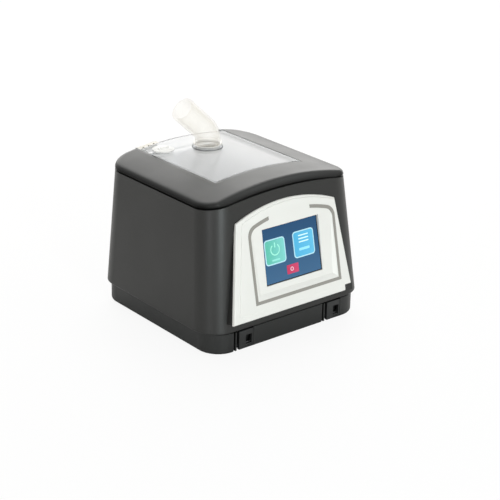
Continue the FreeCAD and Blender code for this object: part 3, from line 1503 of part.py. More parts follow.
def board_with(name, front, depth, blocks):
    """A board on its standoffs with its larger components."""
    top = "board_bottom + board_thick"
    shapes = [box(f"{name}_board", ("board_left", front, "board_bottom"),
                  ("board_left + board_width", f"{front} + {depth}", top))]
    for index, (x, y, length, width, height) in enumerate(blocks):
        low = (f"board_left + {x}", f"{front} + {y}", f"{top} - 0.1")
        high = (f"board_left + {x + length}", f"{front} + {y + width}", f"{top} + {height}")
        shapes.append(box(f"{name}_block_{index}", low, high))
    return shapes


def make_boards():
    """The mains supply and the control board on the floor of the tray."""
    supply = board_with("supply", "supply_front", "supply_depth",
                        [(8, 22, 26, 24, 20), (6, 52, 14, 18, 16), (38, 10, 4, 40, 22),
                         (26, 54, 18, 14, 9)])
    for index, x in enumerate(("10", "24")):
        supply.append(upright(f"capacitor_{index}", f"board_left + {x}", "supply_front + 11",
                              "6", "board_bottom + board_thick - 0.1",
                              "board_bottom + board_thick + 18"))
    hold("power_supply", join("supply_whole", supply))
    control = board_with("control", "control_front", "control_depth",
                         [(8, 12, 14, 14, 1.6), (30, 8, 16, 6, 6), (30, 26, 16, 6, 6),
                          (6, 30, 18, 5, 7)])
    control.append(upright("sounder", "board_left + 42", "control_front + 20", "4.5",
                           "board_bottom + board_thick - 0.1", "board_bottom + board_thick + 6"))
    hold("main_board", join("control_whole", control))


# ---------------------------------------------------------------- back fittings

def rear_box(name, x, z, width, height, near, far):
    """A box on the back, centred on a place, from one depth to another."""
    return box(name, (f"{x} - ({width}) / 2", near, f"{z} - ({height}) / 2"),
               (f"{x} + ({width}) / 2", far, f"{z} + ({height}) / 2"))


def make_filter():
    """The slotted cover that pulls off, and the foam behind it."""
    outside = "back_seat + flange_thick"
    plate = rear_box("grille_plate", "filter_x", "filter_z", "filter_width + 2 * filter_lip",
                     "filter_height + 2 * filter_lip", "back_seat", outside)
    skirt = rear_box("grille_skirt", "filter_x", "filter_z", "filter_width", "filter_height",
                     "back_seat - 4", "back_seat + 0.1")
    hollow = rear_box("grille_hollow", "filter_x", "filter_z", "filter_width - 2 * rib",
                      "filter_height - 2 * rib", "back_seat - 5", "back_seat")
    slots = []
    pitch = "(filter_width - 2 * rib) / louvre_count"
    for index in range(int(number("louvre_count"))):
        middle = f"filter_x - filter_width / 2 + rib + {pitch} * {index + 0.5}"
        slots.append(rear_box(f"louvre_{index}", middle, "filter_z", "louvre_width",
                              "filter_height - 2 * rib - 1", "back_seat - 1", f"{outside} + 1"))
    pull = rear_box("grille_notch", "filter_x", "filter_z + filter_height / 2 + filter_lip",
                    "10", "2.4", f"{outside} - 1", f"{outside} + 1")
    whole = join("grille_whole", [plate, skirt])
    hold("filter_cover", cut("grille_cut", whole, [hollow, pull] + slots))
    inner = "back_seat - filter_well_depth + bay_wall"
    hold("filter_foam", rear_box("foam", "filter_x", "filter_z", "filter_width - 0.4",
                                 "filter_height - 0.4", inner, f"{inner} + foam_thick"))


def make_power_socket():
    """The three-pin mains inlet."""
    outside = "back_seat + flange_thick"
    flange = rear_box("socket_flange", "socket_x", "socket_z", "socket_width + 2 * socket_lip",
                      "socket_height + 2 * socket_lip", "back_seat", outside)
    case = rear_box("socket_case", "socket_x", "socket_z", "socket_width", "socket_height",
                    "back_seat - socket_depth", "back_seat + 0.1")
    hollow = socket_hollow()
    pins = []
    for index, (x, z) in enumerate((("-7", "-2"), ("0", "2"), ("7", "-2"))):
        pins.append(rear_box(f"socket_pin_{index}", f"socket_x + {x}", f"socket_z + {z}", "2", "4",
                             "back_seat - socket_depth + 1.5",
                             "back_seat - socket_depth + 2 + pin_length"))
    shell = cut("socket_shell", join("socket_whole", [flange, case]), [hollow])
    hold("power_socket", join("socket_done", [shell] + pins))


def socket_hollow():
    """The mouth of the inlet, with two bevelled upper corners."""
    body = doc.addObject("PartDesign::Body", "mouth")
    place(body, "socket_x", "back_seat + flange_thick + 1", "socket_z")
    sketch = new_sketch(body, "XZ_Plane")
    half = "socket_mouth_width / 2"
    tall = "socket_mouth_height / 2"
    bevel = "5"
    draw_outline(sketch, [(f"-{half}", f"-{tall}"), (half, f"-{tall}"), (half, f"{tall} - {bevel}"),
                          (f"{half} - {bevel}", tall), (f"-{half} + {bevel}", tall),
                          (f"-{half}", f"{tall} - {bevel}")])
    pad(body, sketch, "flange_thick + socket_depth - 1")
    return body


def make_rocker():
    """The mains switch: a frame that snaps into the back and a rocker that tips in it."""
    outside = "back_seat + flange_thick - 0.4"
    flange = rear_box("switch_flange", "rocker_x", "socket_z", "rocker_width + 2 * socket_lip",
                      "rocker_height + 2 * socket_lip", "back_seat", outside)
    case = rear_box("switch_case", "rocker_x", "socket_z", "rocker_width", "rocker_height",
                    "back_seat - rocker_depth", "back_seat + 0.1")
    room = rear_box("switch_room", "rocker_x", "socket_z", "rocker_width - 2 * rocker_skin",
                    "rocker_height - 2 * rocker_skin", "back_seat - 9", "back_seat + 5")
    pin_from = "rocker_x - rocker_width / 2 + 0.3"
    pivot = (pin_from, "back_seat - rocker_pivot_depth", "socket_z")
    bore = along_x("rocker_bore", pivot, "rocker_pin_radius + shaft_gap", "rocker_width - 0.6")
    hold("rocker_frame", cut("switch_cut", join("switch_whole", [flange, case]), [room, bore]))
    body = doc.addObject("PartDesign::Body", "rocker")
    place(body, "rocker_x", "back_seat - rocker_pivot_depth", "socket_z", axis=Vector(1, 0, 0),
          turn="rocker_tilt * 1 deg")
    sketch = new_sketch(body, "YZ_Plane")
    tall = "(rocker_height / 2 - rocker_skin - rocker_gap - 0.8)"
    draw_outline(sketch, [("-3.5", "-2.5"), ("-3.5", "2.5"), ("0", tall), ("3.6", tall),
                          ("2.6", "0"), ("3.6", f"-{tall}"), ("0", f"-{tall}")])
    pad(body, sketch, "rocker_width - 2 * rocker_skin - 2 * rocker_gap", both=True)
    pin = along_x("rocker_pin", (f"{pin_from} + 0.1",) + pivot[1:], "rocker_pin_radius",
                  "rocker_width - 0.8")
    hold("rocker_button", join("rocker_done", [body, pin]))


# ---------------------------------------------------------------- assembly

def write_parts():
    """Check every object of the document and write each sub-part to its own file."""
    doc.recompute()
    for thing in doc.Objects:
        if {"Invalid", "Error"} & set(thing.State):
            raise RuntimeError(f"{thing.Label} failed: {thing.State}")
    os.makedirs("parts", exist_ok=True)
    for label, piece in pieces.items():
        shape = piece.Shape
        if shape.isNull() or not shape.isValid() or not shape.Solids:
            raise RuntimeError(f"{label} has no valid shape")
        shape.exportStep(f"parts/{label}.step")
        print(label, len(shape.Solids), round(shape.Volume))


outer_form = make_upper_housing()
make_top_rim()
make_base_tray()
make_feet_and_screws()
make_latches()
make_front_panel(outer_form)
make_display()
make_bay_liner()
make_heater()
make_water_tub()
lid_outside = make_chamber_lid()
make_lid_fittings(lid_outside)
make_outlet_elbow()
make_blower()
make_air_duct()
make_boards()
make_filter()
make_power_socket()
make_rocker()
write_parts()
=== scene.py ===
import math

import bpy
from mathutils import Matrix, Vector


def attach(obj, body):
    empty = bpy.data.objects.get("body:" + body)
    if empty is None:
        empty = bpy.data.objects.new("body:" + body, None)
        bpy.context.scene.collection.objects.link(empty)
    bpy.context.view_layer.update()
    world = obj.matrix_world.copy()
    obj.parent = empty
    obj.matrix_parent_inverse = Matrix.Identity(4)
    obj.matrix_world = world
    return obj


# A bedside breathing machine: black moulded case, white panel with a lit touch screen, clear
# humidifier chamber with a swivelling elbow. Blender works in metres, and mm() makes them.

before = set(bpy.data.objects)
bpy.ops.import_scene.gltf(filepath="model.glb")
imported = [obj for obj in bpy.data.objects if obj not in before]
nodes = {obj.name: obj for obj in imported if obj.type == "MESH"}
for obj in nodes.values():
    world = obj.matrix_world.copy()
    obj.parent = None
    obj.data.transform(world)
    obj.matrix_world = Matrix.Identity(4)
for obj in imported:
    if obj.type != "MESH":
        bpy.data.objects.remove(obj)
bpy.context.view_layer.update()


def mm(length):
    """Millimetres to metres."""
    return length / 1000


# ---------------------------------------------------------------- sizes shared with the solids

# In millimetres. X and Y count from the middle of the machine, Z from the table.
SHELL_Y = 3.3808              # the middle of the shell along Y
PANEL_LEAN = math.atan(0.22)  # how far the panel leans back, in radians
PANEL_REACH = 90              # from the middle of the shell forward to the panel's foot
PANEL_FOOT = 28               # the height of the panel's foot
GLASS_DEPTH = 1.85            # how far the glass lies behind the panel's face
JOINT_TOP = 128.8             # the arched joint under the rim
JOINT_RADIUS = 375
COLLAR_RADIUS = 12.8          # the port's collar, and the lid's height beside it
PORT_Y = 34.7 + SHELL_Y
LID_TOP = 136.0
LID_BACK_Y = 78.2             # the arched back edge of the lid
LID_BACK_TOP = 133.75
LID_BACK_RADIUS = 286.5
LID_GAP_X = 45.6              # the straight gaps between the lid and the rim
LID_GAP_Y = 21 + SHELL_Y
LID_GAP_Z = 131.75
LID_GAP_LENGTH = 112
CLIP_Y = SHELL_Y - 78.3       # the face of the latch clips
CLIP_LIP_Z = 4.4              # the lower edge of their windows
CLIP_LEFT_X = -43.9
CLIP_RIGHT_X = 52.1


# ---------------------------------------------------------------- camera

def aim_camera():
    """A long lens, three quarters from the front left and a little above."""
    azimuth, height, roll = math.radians(-38.965), math.radians(21.19), math.radians(0.972)
    distance = mm(1257)
    target = Vector((0, mm(SHELL_Y), mm(78)))
    back = Vector((math.sin(azimuth) * math.cos(height), -math.cos(azimuth) * math.cos(height),
                   math.sin(height)))
    right = Vector((math.cos(azimuth), math.sin(azimuth), 0))
    up = back.cross(right)
    right_rolled = right * math.cos(roll) + up * math.sin(roll)
    up_rolled = up * math.cos(roll) - right * math.sin(roll)
    lens = bpy.data.cameras.new("camera")
    lens.sensor_width = 36
    lens.lens = 105.48
    lens.shift_x = 0.0368
    lens.shift_y = -0.0586
    lens.clip_end = 20
    camera = bpy.data.objects.new("camera", lens)
    bpy.context.scene.collection.objects.link(camera)
    turn = Matrix((right_rolled, up_rolled, back)).transposed().to_4x4()
    camera.matrix_world = Matrix.Translation(target + back * distance) @ turn
    bpy.context.scene.camera = camera


aim_camera()
bpy.context.scene.view_settings.view_transform = "Standard"


# ---------------------------------------------------------------- material helpers

def linear(code):
    """An sRGB hex colour as linear red, green, blue and 1."""
    parts = [int(code[i:i + 2], 16) / 255 for i in (1, 3, 5)]
    return tuple(p / 12.92 if p <= 0.04045 else ((p + 0.055) / 1.055) ** 2.4
                 for p in parts) + (1.0,)


def add_node(tree, kind, settings, links=()):
    """Add a shader node, set its sockets or properties, and link its inputs."""
    node = tree.nodes.new(kind)
    for name, value in settings.items():
        if isinstance(name, int) or name in node.inputs:
            node.inputs[name].default_value = value
        else:
            setattr(node, name, value)
    for name, source in links:
        tree.links.new(source, node.inputs[name])
    return node


def new_material(name, **sockets):
    """A material with one surface shader, with some sockets set."""
    material = bpy.data.materials.new(name)
    material.use_nodes = True
    tree = material.node_tree
    shader = tree.nodes["Principled BSDF"]
    for socket, value in sockets.items():
        shader.inputs[socket.replace("_", " ")].default_value = value
    return material, tree, shader


def per_mm(size):
    """The scale of a noise whose features are this many millimetres across."""
    return 1000 / size


def grain(tree, shader, size, depth):
    """A moulded surface's grain: fine bumps of a size and depth in millimetres.

    The real grain is near 0.1 mm, too fine to show, so it is drawn several times coarser.
    """
    place = add_node(tree, "ShaderNodeTexCoord", {})
    noise = add_node(tree, "ShaderNodeTexNoise", {"Scale": per_mm(size), "Detail": 2.0},
                     [("Vector", place.outputs["Object"])])
    bump = add_node(tree, "ShaderNodeBump", {"Strength": 1.0, "Distance": mm(depth)},
                    [("Height", noise.outputs["Fac"])])
    tree.links.new(bump.outputs["Normal"], shader.inputs["Normal"])
    return place


def patchy_roughness(tree, shader, place, low, high, size):
    """Let the roughness wander between two values, over patches of a size in millimetres."""
    patches = add_node(tree, "ShaderNodeTexNoise", {"Scale": per_mm(size), "Detail": 3.0},
                       [("Vector", place.outputs["Object"])])
    span = add_node(tree, "ShaderNodeMapRange",
                    {"From Min": 0.3, "From Max": 0.7, "To Min": low, "To Max": high},
                    [("Value", patches.outputs["Fac"])])
    tree.links.new(span.outputs["Result"], shader.inputs["Roughness"])


def mixed_colour(tree, shader, factor, first, second, socket="Base Color"):
    """Colour a socket between two hex colours by a factor."""
    mix = add_node(tree, "ShaderNodeMix",
                   {"data_type": "RGBA", 6: linear(first), 7: linear(second)}, [(0, factor)])
    tree.links.new(mix.outputs[2], shader.inputs[socket])


# ---------------------------------------------------------------- finishes

def moulded_abs(name, dark, light, low, high, grit):
    """ABS moulded in a spark-eroded tool: a fine grain that softens every reflection.

    The tone wanders a little over 60 mm and the sheen over 38 mm, as on a part that is handled.
    """
    material, tree, shader = new_material(name, IOR=1.5)
    place = grain(tree, shader, grit, 0.012)
    patchy_roughness(tree, shader, place, low, high, 38)
    smudge = add_node(tree, "ShaderNodeTexNoise", {"Scale": per_mm(60), "Detail": 4.0},
                      [("Vector", place.outputs["Object"])])
    mixed_colour(tree, shader, smudge.outputs["Fac"], dark, light)
    return material


def eased_edges(material, radius):
    """Round a finish's sharp edges in the shading, by a radius in millimetres."""
    tree = material.node_tree
    rounded = add_node(tree, "ShaderNodeBevel", {"samples": 8, "Radius": mm(radius)})
    tree.links.new(rounded.outputs["Normal"], tree.nodes["Bump"].inputs["Normal"])


def painted_shade_at_joint(material, shade_black_below, shade_free_above):
    """Paint shade into a finish at the arched joint under the rim: its colour and gloss fall off
    to black there, as a painted shadow of the groove.

    The two heights are millimetres over the joint. On the rim's two sides the painted shade also
    deepens from 66 to 79 mm out from the middle, and at the front it darkens only half as far.
    """
    tree = material.node_tree
    shader = tree.nodes["Principled BSDF"]
    place = add_node(tree, "ShaderNodeTexCoord", {})
    split = add_node(tree, "ShaderNodeSeparateXYZ", {}, [("Vector", place.outputs["Object"])])
    square = add_node(tree, "ShaderNodeMath", {"operation": "POWER", 1: 2.0},
                      [(0, split.outputs["X"])])
    arch = add_node(tree, "ShaderNodeMath",
                    {"operation": "MULTIPLY_ADD", 1: 1 / mm(2 * JOINT_RADIUS),
                     2: -mm(JOINT_TOP)}, [(0, square.outputs[0])])
    height = add_node(tree, "ShaderNodeMath", {"operation": "ADD"},
                      [(0, split.outputs["Z"]), (1, arch.outputs[0])])
    unshaded = add_node(tree, "ShaderNodeMapRange",
                     {"interpolation_type": "SMOOTHSTEP", "From Min": mm(shade_black_below),
                      "From Max": mm(shade_free_above)}, [("Value", height.outputs[0])])
    aside = add_node(tree, "ShaderNodeMath", {"operation": "ABSOLUTE"},
                     [(0, split.outputs["X"])])
    side = add_node(tree, "ShaderNodeMapRange",
                    {"interpolation_type": "SMOOTHSTEP", "From Min": mm(66), "From Max": mm(79),
                     "To Min": 1.0, "To Max": 0.3}, [("Value", aside.outputs[0])])
    least = add_node(tree, "ShaderNodeMath", {"operation": "MINIMUM"},
                     [(0, unshaded.outputs["Result"]), (1, side.outputs["Result"])])
    front = add_node(tree, "ShaderNodeMapRange",
                     {"From Min": mm(-63), "From Max": mm(-53), "To Min": 0.5, "To Max": 0.0},
                     [("Value", split.outputs["Y"])])
    fade = add_node(tree, "ShaderNodeMapRange", {"To Max": 1.0},
                    [("Value", least.outputs[0]), ("To Min", front.outputs["Result"])])
    # Painted shade: the colour is mixed toward near black by the fade.
    own_colour = shader.inputs["Base Color"].links[0].from_socket
    colour = add_node(tree, "ShaderNodeMix", {"data_type": "RGBA", 6: (0.002, 0.002, 0.002, 1)},
                      [(0, fade.outputs["Result"]), (7, own_colour)])
    tree.links.new(colour.outputs[2], shader.inputs["Base Color"])
    # Painted shade in the gloss too: the specular level drops with the same fade.
    gloss = add_node(tree, "ShaderNodeMapRange", {"To Min": 0.06, "To Max": 0.42},
                     [("Value", fade.outputs["Result"])])
    tree.links.new(gloss.outputs["Result"], shader.inputs["Specular IOR Level"])


def clear_plastic(name, body, wall, face_alpha, edge_alpha, roughness):
    """Clear moulded polycarbonate: see-through face on, milky where the eye grazes its wall.

    Its wall takes a greyer tone edge on, its shadow is thin because it lets light through, and
    slow waves 30 mm long, as the melt leaves them, bend what shows in it.
    """
    material, tree, shader = new_material(name, IOR=1.58, Roughness=roughness,
                                          Specular_IOR_Level=0.35)
    edge = add_node(tree, "ShaderNodeLayerWeight", {"Blend": 0.35})
    grazed = add_node(tree, "ShaderNodeMapRange", {"From Min": 0.62, "From Max": 0.95},
                      [("Value", edge.outputs["Facing"])])
    mixed_colour(tree, shader, grazed.outputs["Result"], body, wall)
    span = add_node(tree, "ShaderNodeMapRange", {"To Min": face_alpha, "To Max": edge_alpha},
                    [("Value", edge.outputs["Facing"])])
    path = add_node(tree, "ShaderNodeLightPath", {})
    shade = add_node(tree, "ShaderNodeMapRange", {"To Min": 1.0, "To Max": 0.15},
                     [("Value", path.outputs["Is Shadow Ray"])])
    alpha = add_node(tree, "ShaderNodeMath", {"operation": "MULTIPLY"},
                     [(0, span.outputs["Result"]), (1, shade.outputs["Result"])])
    tree.links.new(alpha.outputs[0], shader.inputs["Alpha"])
    place = add_node(tree, "ShaderNodeTexCoord", {})
    flow = add_node(tree, "ShaderNodeTexNoise", {"Scale": per_mm(30), "Detail": 1.0},
                    [("Vector", place.outputs["Object"])])
    bump = add_node(tree, "ShaderNodeBump", {"Strength": 1.0, "Distance": mm(0.08)},
                    [("Height", flow.outputs["Fac"])])
    tree.links.new(bump.outputs["Normal"], shader.inputs["Normal"])
    return material


def rubber(name, colour, roughness):
    """Moulded rubber: matt, with a dusty bloom in patches."""
    material, tree, shader = new_material(name, IOR=1.5)
    place = grain(tree, shader, 1.2, 0.02)
    patchy_roughness(tree, shader, place, roughness - 0.1, roughness, 15)
    shader.inputs["Base Color"].default_value = linear(colour)
    return material


def brushed_metal(name, colour, roughness, across=(1, 30, 30)):
    """Rolled or brushed metal: hairlines a fraction of a millimetre apart, along one axis.

    The pattern is 9 mm long, and finer by the factors given for X, Y and Z.
    """
    material, tree, shader = new_material(name, Metallic=1.0)
    shader.inputs["Base Color"].default_value = linear(colour)
    place = add_node(tree, "ShaderNodeTexCoord", {})
    stretch = add_node(tree, "ShaderNodeMapping", {"Scale": across},
                       [("Vector", place.outputs["Object"])])
    lines = add_node(tree, "ShaderNodeTexNoise", {"Scale": per_mm(9), "Detail": 3.0},
                     [("Vector", stretch.outputs["Vector"])])
    span = add_node(tree, "ShaderNodeMapRange",
                    {"To Min": roughness - 0.08, "To Max": roughness + 0.1},
                    [("Value", lines.outputs["Fac"])])
    tree.links.new(span.outputs["Result"], shader.inputs["Roughness"])
    bump = add_node(tree, "ShaderNodeBump", {"Strength": 0.4, "Distance": mm(0.02)},
                    [("Height", lines.outputs["Fac"])])
    tree.links.new(bump.outputs["Normal"], shader.inputs["Normal"])
    return material


def solder_mask(name):
    """Fibreglass board under green solder mask, with paler copper runs in it."""
    material, tree, shader = new_material(name, IOR=1.5, Roughness=0.35)
    place = add_node(tree, "ShaderNodeTexCoord", {})
    runs = add_node(tree, "ShaderNodeTexBrick",
                    {"Scale": per_mm(9), "Mortar Size": 0.04, "Color1": linear("#0F4A2A"),
                     "Color2": linear("#11502E"), "Mortar": linear("#2E7A4C")},
                    [("Vector", place.outputs["Object"])])
    tree.links.new(runs.outputs["Color"], shader.inputs["Base Color"])
    return material


def open_foam(name):
    """Reticulated filter foam: dark open pores about a millimetre across."""
    material, tree, shader = new_material(name, Roughness=0.9)
    place = add_node(tree, "ShaderNodeTexCoord", {})
    pores = add_node(tree, "ShaderNodeTexVoronoi", {"Scale": per_mm(1.2)},
                     [("Vector", place.outputs["Object"])])
    mixed_colour(tree, shader, pores.outputs["Distance"], "#1B1C1E", "#7E8286")
    bump = add_node(tree, "ShaderNodeBump", {"Strength": 1.0, "Distance": mm(0.5)},
                    [("Height", pores.outputs["Distance"])])
    tree.links.new(bump.outputs["Normal"], shader.inputs["Normal"])
    return material


def lit_screen(name):
    """A lit colour display behind glass: deep blue at its top, paler at its foot, with gloss."""
    material, tree, shader = new_material(name, IOR=1.5, Roughness=0.08, Emission_Strength=0.4)
    place = add_node(tree, "ShaderNodeTexCoord", {})
    split = add_node(tree, "ShaderNodeSeparateXYZ", {}, [("Vector", place.outputs["Object"])])
    fall = add_node(tree, "ShaderNodeMapRange",
                    {"From Min": mm(50), "From Max": mm(103), "To Min": 1.0, "To Max": 0.0},
                    [("Value", split.outputs["Z"])])
    mixed_colour(tree, shader, fall.outputs["Result"], "#123A5C", "#264F72")
    mixed_colour(tree, shader, fall.outputs["Result"], "#123F66", "#2B5C80", "Emission Color")
    return material


def lit_ink(name, colour, strength, pale=None, middle=0, reach=10):
    """One colour of the lit picture, under the gloss of the glass.

    With a paler colour it brightens to the right across the reach, in millimetres each side of
    the middle, with soft blotches about 3 mm wide, as a backlight gives.
    """
    material, tree, shader = new_material(name, IOR=1.5, Roughness=0.12,
                                          Emission_Strength=strength)
    if pale is None:
        shader.inputs["Base Color"].default_value = linear(colour)
        shader.inputs["Emission Color"].default_value = linear(colour)
        return material
    place = add_node(tree, "ShaderNodeTexCoord", {})
    split = add_node(tree, "ShaderNodeSeparateXYZ", {}, [("Vector", place.outputs["Object"])])
    fall = add_node(tree, "ShaderNodeMapRange",
                    {"From Min": mm(middle - reach), "From Max": mm(middle + reach)},
                    [("Value", split.outputs["X"])])
    blotches = add_node(tree, "ShaderNodeTexNoise", {"Scale": per_mm(3), "Detail": 2.0},
                        [("Vector", place.outputs["Object"])])
    both = add_node(tree, "ShaderNodeMath", {"operation": "MULTIPLY_ADD", 1: 0.35},
                    [(0, blotches.outputs["Fac"]), (2, fall.outputs["Result"])])
    for socket in ("Base Color", "Emission Color"):
        mixed_colour(tree, shader, both.outputs[0], colour, pale, socket)
    return material


# Black ABS gives broad, soft highlights. The rim is a tone lighter, and the base is darker and
# flatter.
black_abs = moulded_abs("abs_black_spark_eroded", "#131311", "#191917", 0.34, 0.42, 0.8)
rim_abs = moulded_abs("abs_black_rim", "#171816", "#1E1F1D", 0.34, 0.42, 0.8)
# Painted shade: the rim's colour and gloss go dark towards the joint groove under it.
painted_shade_at_joint(rim_abs, 1.6, 6.4)
eased_edges(rim_abs, 3.5)
base_abs = moulded_abs("abs_black_base", "#101110", "#161716", 0.4, 0.5, 0.8)
# Acetal is a little waxier than ABS, with a finer grain.
black_acetal = moulded_abs("acetal_black_latch", "#191A1A", "#202121", 0.34, 0.42, 0.7)
# White ABS: warm on the panel, cool on the liner, glossier and creamier on the tab.
white_abs = moulded_abs("abs_warm_white", "#E0DEDA", "#E6E5E1", 0.34, 0.42, 1.0)
liner_abs = moulded_abs("abs_cool_white_liner", "#EEF1F8", "#F4F6FA", 0.4, 0.5, 1.0)
tab_abs = moulded_abs("abs_gloss_white_tab", "#D2CEC3", "#DAD6CC", 0.26, 0.34, 1.0)
# The grey line is an inlaid strip, as matt as the liner.
grey_line = moulded_abs("abs_grey_line", "#8A8680", "#93908A", 0.4, 0.5, 1.0)
# Undyed polypropylene of the air path: waxy and yellowish grey.
natural = moulded_abs("polypropylene_natural", "#C9C9C2", "#D3D3CD", 0.4, 0.5, 1.0)
# Polished nylon of the mains parts: small, clear highlights.
gloss_black = moulded_abs("nylon_gloss_black", "#101010", "#171717", 0.2, 0.28, 1.0)
# Clear polycarbonate: the lid is neutral, the tub cool, and the elbow warm from steam and use.
lid_clear = clear_plastic("polycarbonate_clear_lid", "#EEEFF1", "#A6ADB5", 0.15, 0.55, 0.06)
tub_clear = clear_plastic("polycarbonate_clear_tub", "#EEF2F8", "#C4CCD8", 0.13, 0.5, 0.1)
elbow_clear = clear_plastic("polycarbonate_clear_elbow", "#FBF5EA", "#D4D1C9", 0.1, 0.42, 0.1)
plug_clear = clear_plastic("polycarbonate_clear_plug", "#F6F5F2", "#D2D2CE", 0.2, 0.6, 0.12)
# Silicone seals have a soft sheen, and the rubber of the feet has none.
silicone = rubber("silicone_translucent", "#C9CCCC", 0.55)
smoked_silicone = rubber("silicone_smoked_ring", "#3E4044", 0.55)
foot_rubber = rubber("rubber_black_feet", "#151515", 0.85)
# Metals: long hairlines on the sheet, short and bright ones on turned pins and screws.
plate_steel = brushed_metal("stainless_brushed_base", "#B9B9B6", 0.32)
motor_steel = brushed_metal("steel_zinc_plated", "#A9ABAE", 0.38)
bright_steel = brushed_metal("steel_bright_screws", "#C4C4C2", 0.25, (12, 12, 1))
dark_steel = brushed_metal("steel_blackened_pins", "#4A4A4C", 0.36, (1, 12, 12))
heater_alloy = brushed_metal("aluminium_machined_heater", "#C6C8CA", 0.3, (30, 1, 30))
board_green = solder_mask("fibreglass_green_mask")
filter_foam = open_foam("foam_grey_reticulated")
screen_blue = lit_screen("display_lit_blue")

finishes = {
    "upper_housing": black_abs, "top_rim": rim_abs, "base_tray": base_abs,
    "corner_block": black_abs, "latch_clip_left": black_acetal,
    "latch_clip_right": black_acetal, "filter_cover": black_acetal,
    "front_panel": white_abs, "bay_liner": liner_abs, "lift_tab": tab_abs,
    "frame_line": grey_line, "blower_housing": natural, "blower_cover": natural,
    "impeller": natural, "air_duct": natural, "power_socket": gloss_black,
    "rocker_frame": gloss_black, "rocker_button": gloss_black, "chamber_lid": lid_clear,
    "water_tub": tub_clear, "outlet_elbow": elbow_clear, "filler_plug": plug_clear,
    "lid_seal": silicone, "heater_gasket": silicone, "inlet_seal": silicone,
    "rubber_feet": foot_rubber, "blower_mounts": foot_rubber, "chamber_base": plate_steel,
    "motor_shaft": plate_steel, "lcd_module": motor_steel, "blower_motor": motor_steel,
    "cover_screws": bright_steel, "latch_pins": dark_steel, "heater_plate": heater_alloy,
    "display_board": board_green, "main_board": board_green, "power_supply": board_green,
    "filter_foam": filter_foam, "touch_glass": screen_blue,
}
for part, finish in finishes.items():
    nodes[part].data.materials.clear()
    nodes[part].data.materials.append(finish)

# The inks of the lit picture: the two square keys brighten to the right, the signs are even.
tile_green = lit_ink("display_tile_green", "#4AA893", 0.28, "#74BFBC", -12, 12)
tile_blue = lit_ink("display_tile_cyan", "#3A9CC6", 0.28, "#56ABD0", 15, 14)
tile_rim = lit_ink("display_tile_rim", "#A6CFDC", 0.26)
sign_pale = lit_ink("display_sign_pale", "#93D6C6", 0.3)
sign_white = lit_ink("display_sign_white", "#C4E2EE", 0.3)
sign_pink = lit_ink("display_sign_pink", "#D8B4C2", 0.25)
caption_pale = lit_ink("display_caption_pale", "#84CCC2", 0.3)
caption_blue = lit_ink("display_caption_blue", "#8CD0EC", 0.3)
key_red = lit_ink("display_key_red", "#A81F4A", 0.3, "#B8355C", 0, 8)
mask_black = lit_ink("display_mask_black", "#0B0F16", 0.0)


# ---------------------------------------------------------------- mesh helpers

def choose(obj):
    """Select one object and nothing else."""
    bpy.ops.object.select_all(action="DESELECT")
    obj.select_set(True)
    bpy.context.view_layer.objects.active = obj


def edit_mode(obj, work):
    """Run some mesh operators on one object, all of it selected at first."""
    choose(obj)
    bpy.ops.object.mode_set(mode="EDIT")
    bpy.ops.mesh.select_all(action="SELECT")
    work()
    bpy.ops.object.mode_set(mode="OBJECT")


def pick_faces(obj, test):
    """Select the faces of the object in edit mode whose middle and normal pass a test."""
    bpy.ops.mesh.select_mode(type="FACE")
    bpy.ops.mesh.select_all(action="DESELECT")
    bpy.ops.object.mode_set(mode="OBJECT")
    for face in obj.data.polygons:
        face.select = test(face.center, face.normal)
    bpy.ops.object.mode_set(mode="EDIT")


def pick_edges(obj, test):
    """Select the edges of the object in edit mode whose two ends pass a test."""
    bpy.ops.mesh.select_mode(type="EDGE")
    bpy.ops.mesh.select_all(action="DESELECT")
    bpy.ops.object.mode_set(mode="OBJECT")
    points = obj.data.vertices
    for edge in obj.data.edges:
        edge.select = test(points[edge.vertices[0]].co, points[edge.vertices[1]].co)
    bpy.ops.object.mode_set(mode="EDIT")


def settle(obj, right, back, up, lean=0):
    """Turn and move a piece, in millimetres, and keep that place in its mesh."""
    obj.rotation_euler = (lean, 0, 0)
    obj.location = (mm(right), mm(back), mm(up))
    choose(obj)
    bpy.ops.object.transform_apply(location=True, rotation=True, scale=True)


def twin(obj, name):
    """A copy of a piece with a mesh of its own."""
    other = obj.copy()
    other.data = obj.data.copy()
    other.name = name
    bpy.context.scene.collection.objects.link(other)
    return other


def plate(name, width, height, thick, corner, finish):
    """A flat plate that faces -Y, with rounded corners, in millimetres."""
    bpy.ops.object.select_all(action="DESELECT")
    bpy.ops.mesh.primitive_cube_add(size=1)
    obj = bpy.context.active_object
    obj.name = name
    obj.scale = (mm(width), mm(thick), mm(height))
    bpy.ops.object.transform_apply(location=False, rotation=False, scale=True)

    def round_corners():
        pick_edges(obj, lambda a, b: abs(a.y - b.y) > mm(thick) / 2)
        bpy.ops.mesh.bevel(offset=mm(corner), segments=6, affect="EDGES")

    if corner:
        edit_mode(obj, round_corners)
    obj.data.materials.append(finish)
    return obj


def ease_along(obj, axis, radius):
    """Round the edges of a small bar that run along one axis."""
    def work():
        pick_edges(obj, lambda a, b: abs(a[axis] - b[axis]) > mm(1))
        bpy.ops.mesh.bevel(offset=mm(radius), segments=3, affect="EDGES")

    edit_mode(obj, work)


def hollow_out(obj, border):
    """Cut the middle out of a plate, so that a frame of one width is left."""
    def work():
        pick_faces(obj, lambda middle, normal: abs(normal.y) > 0.9)
        bpy.ops.mesh.inset(thickness=mm(border), depth=0)
        bpy.ops.mesh.bridge_edge_loops()

    edit_mode(obj, work)


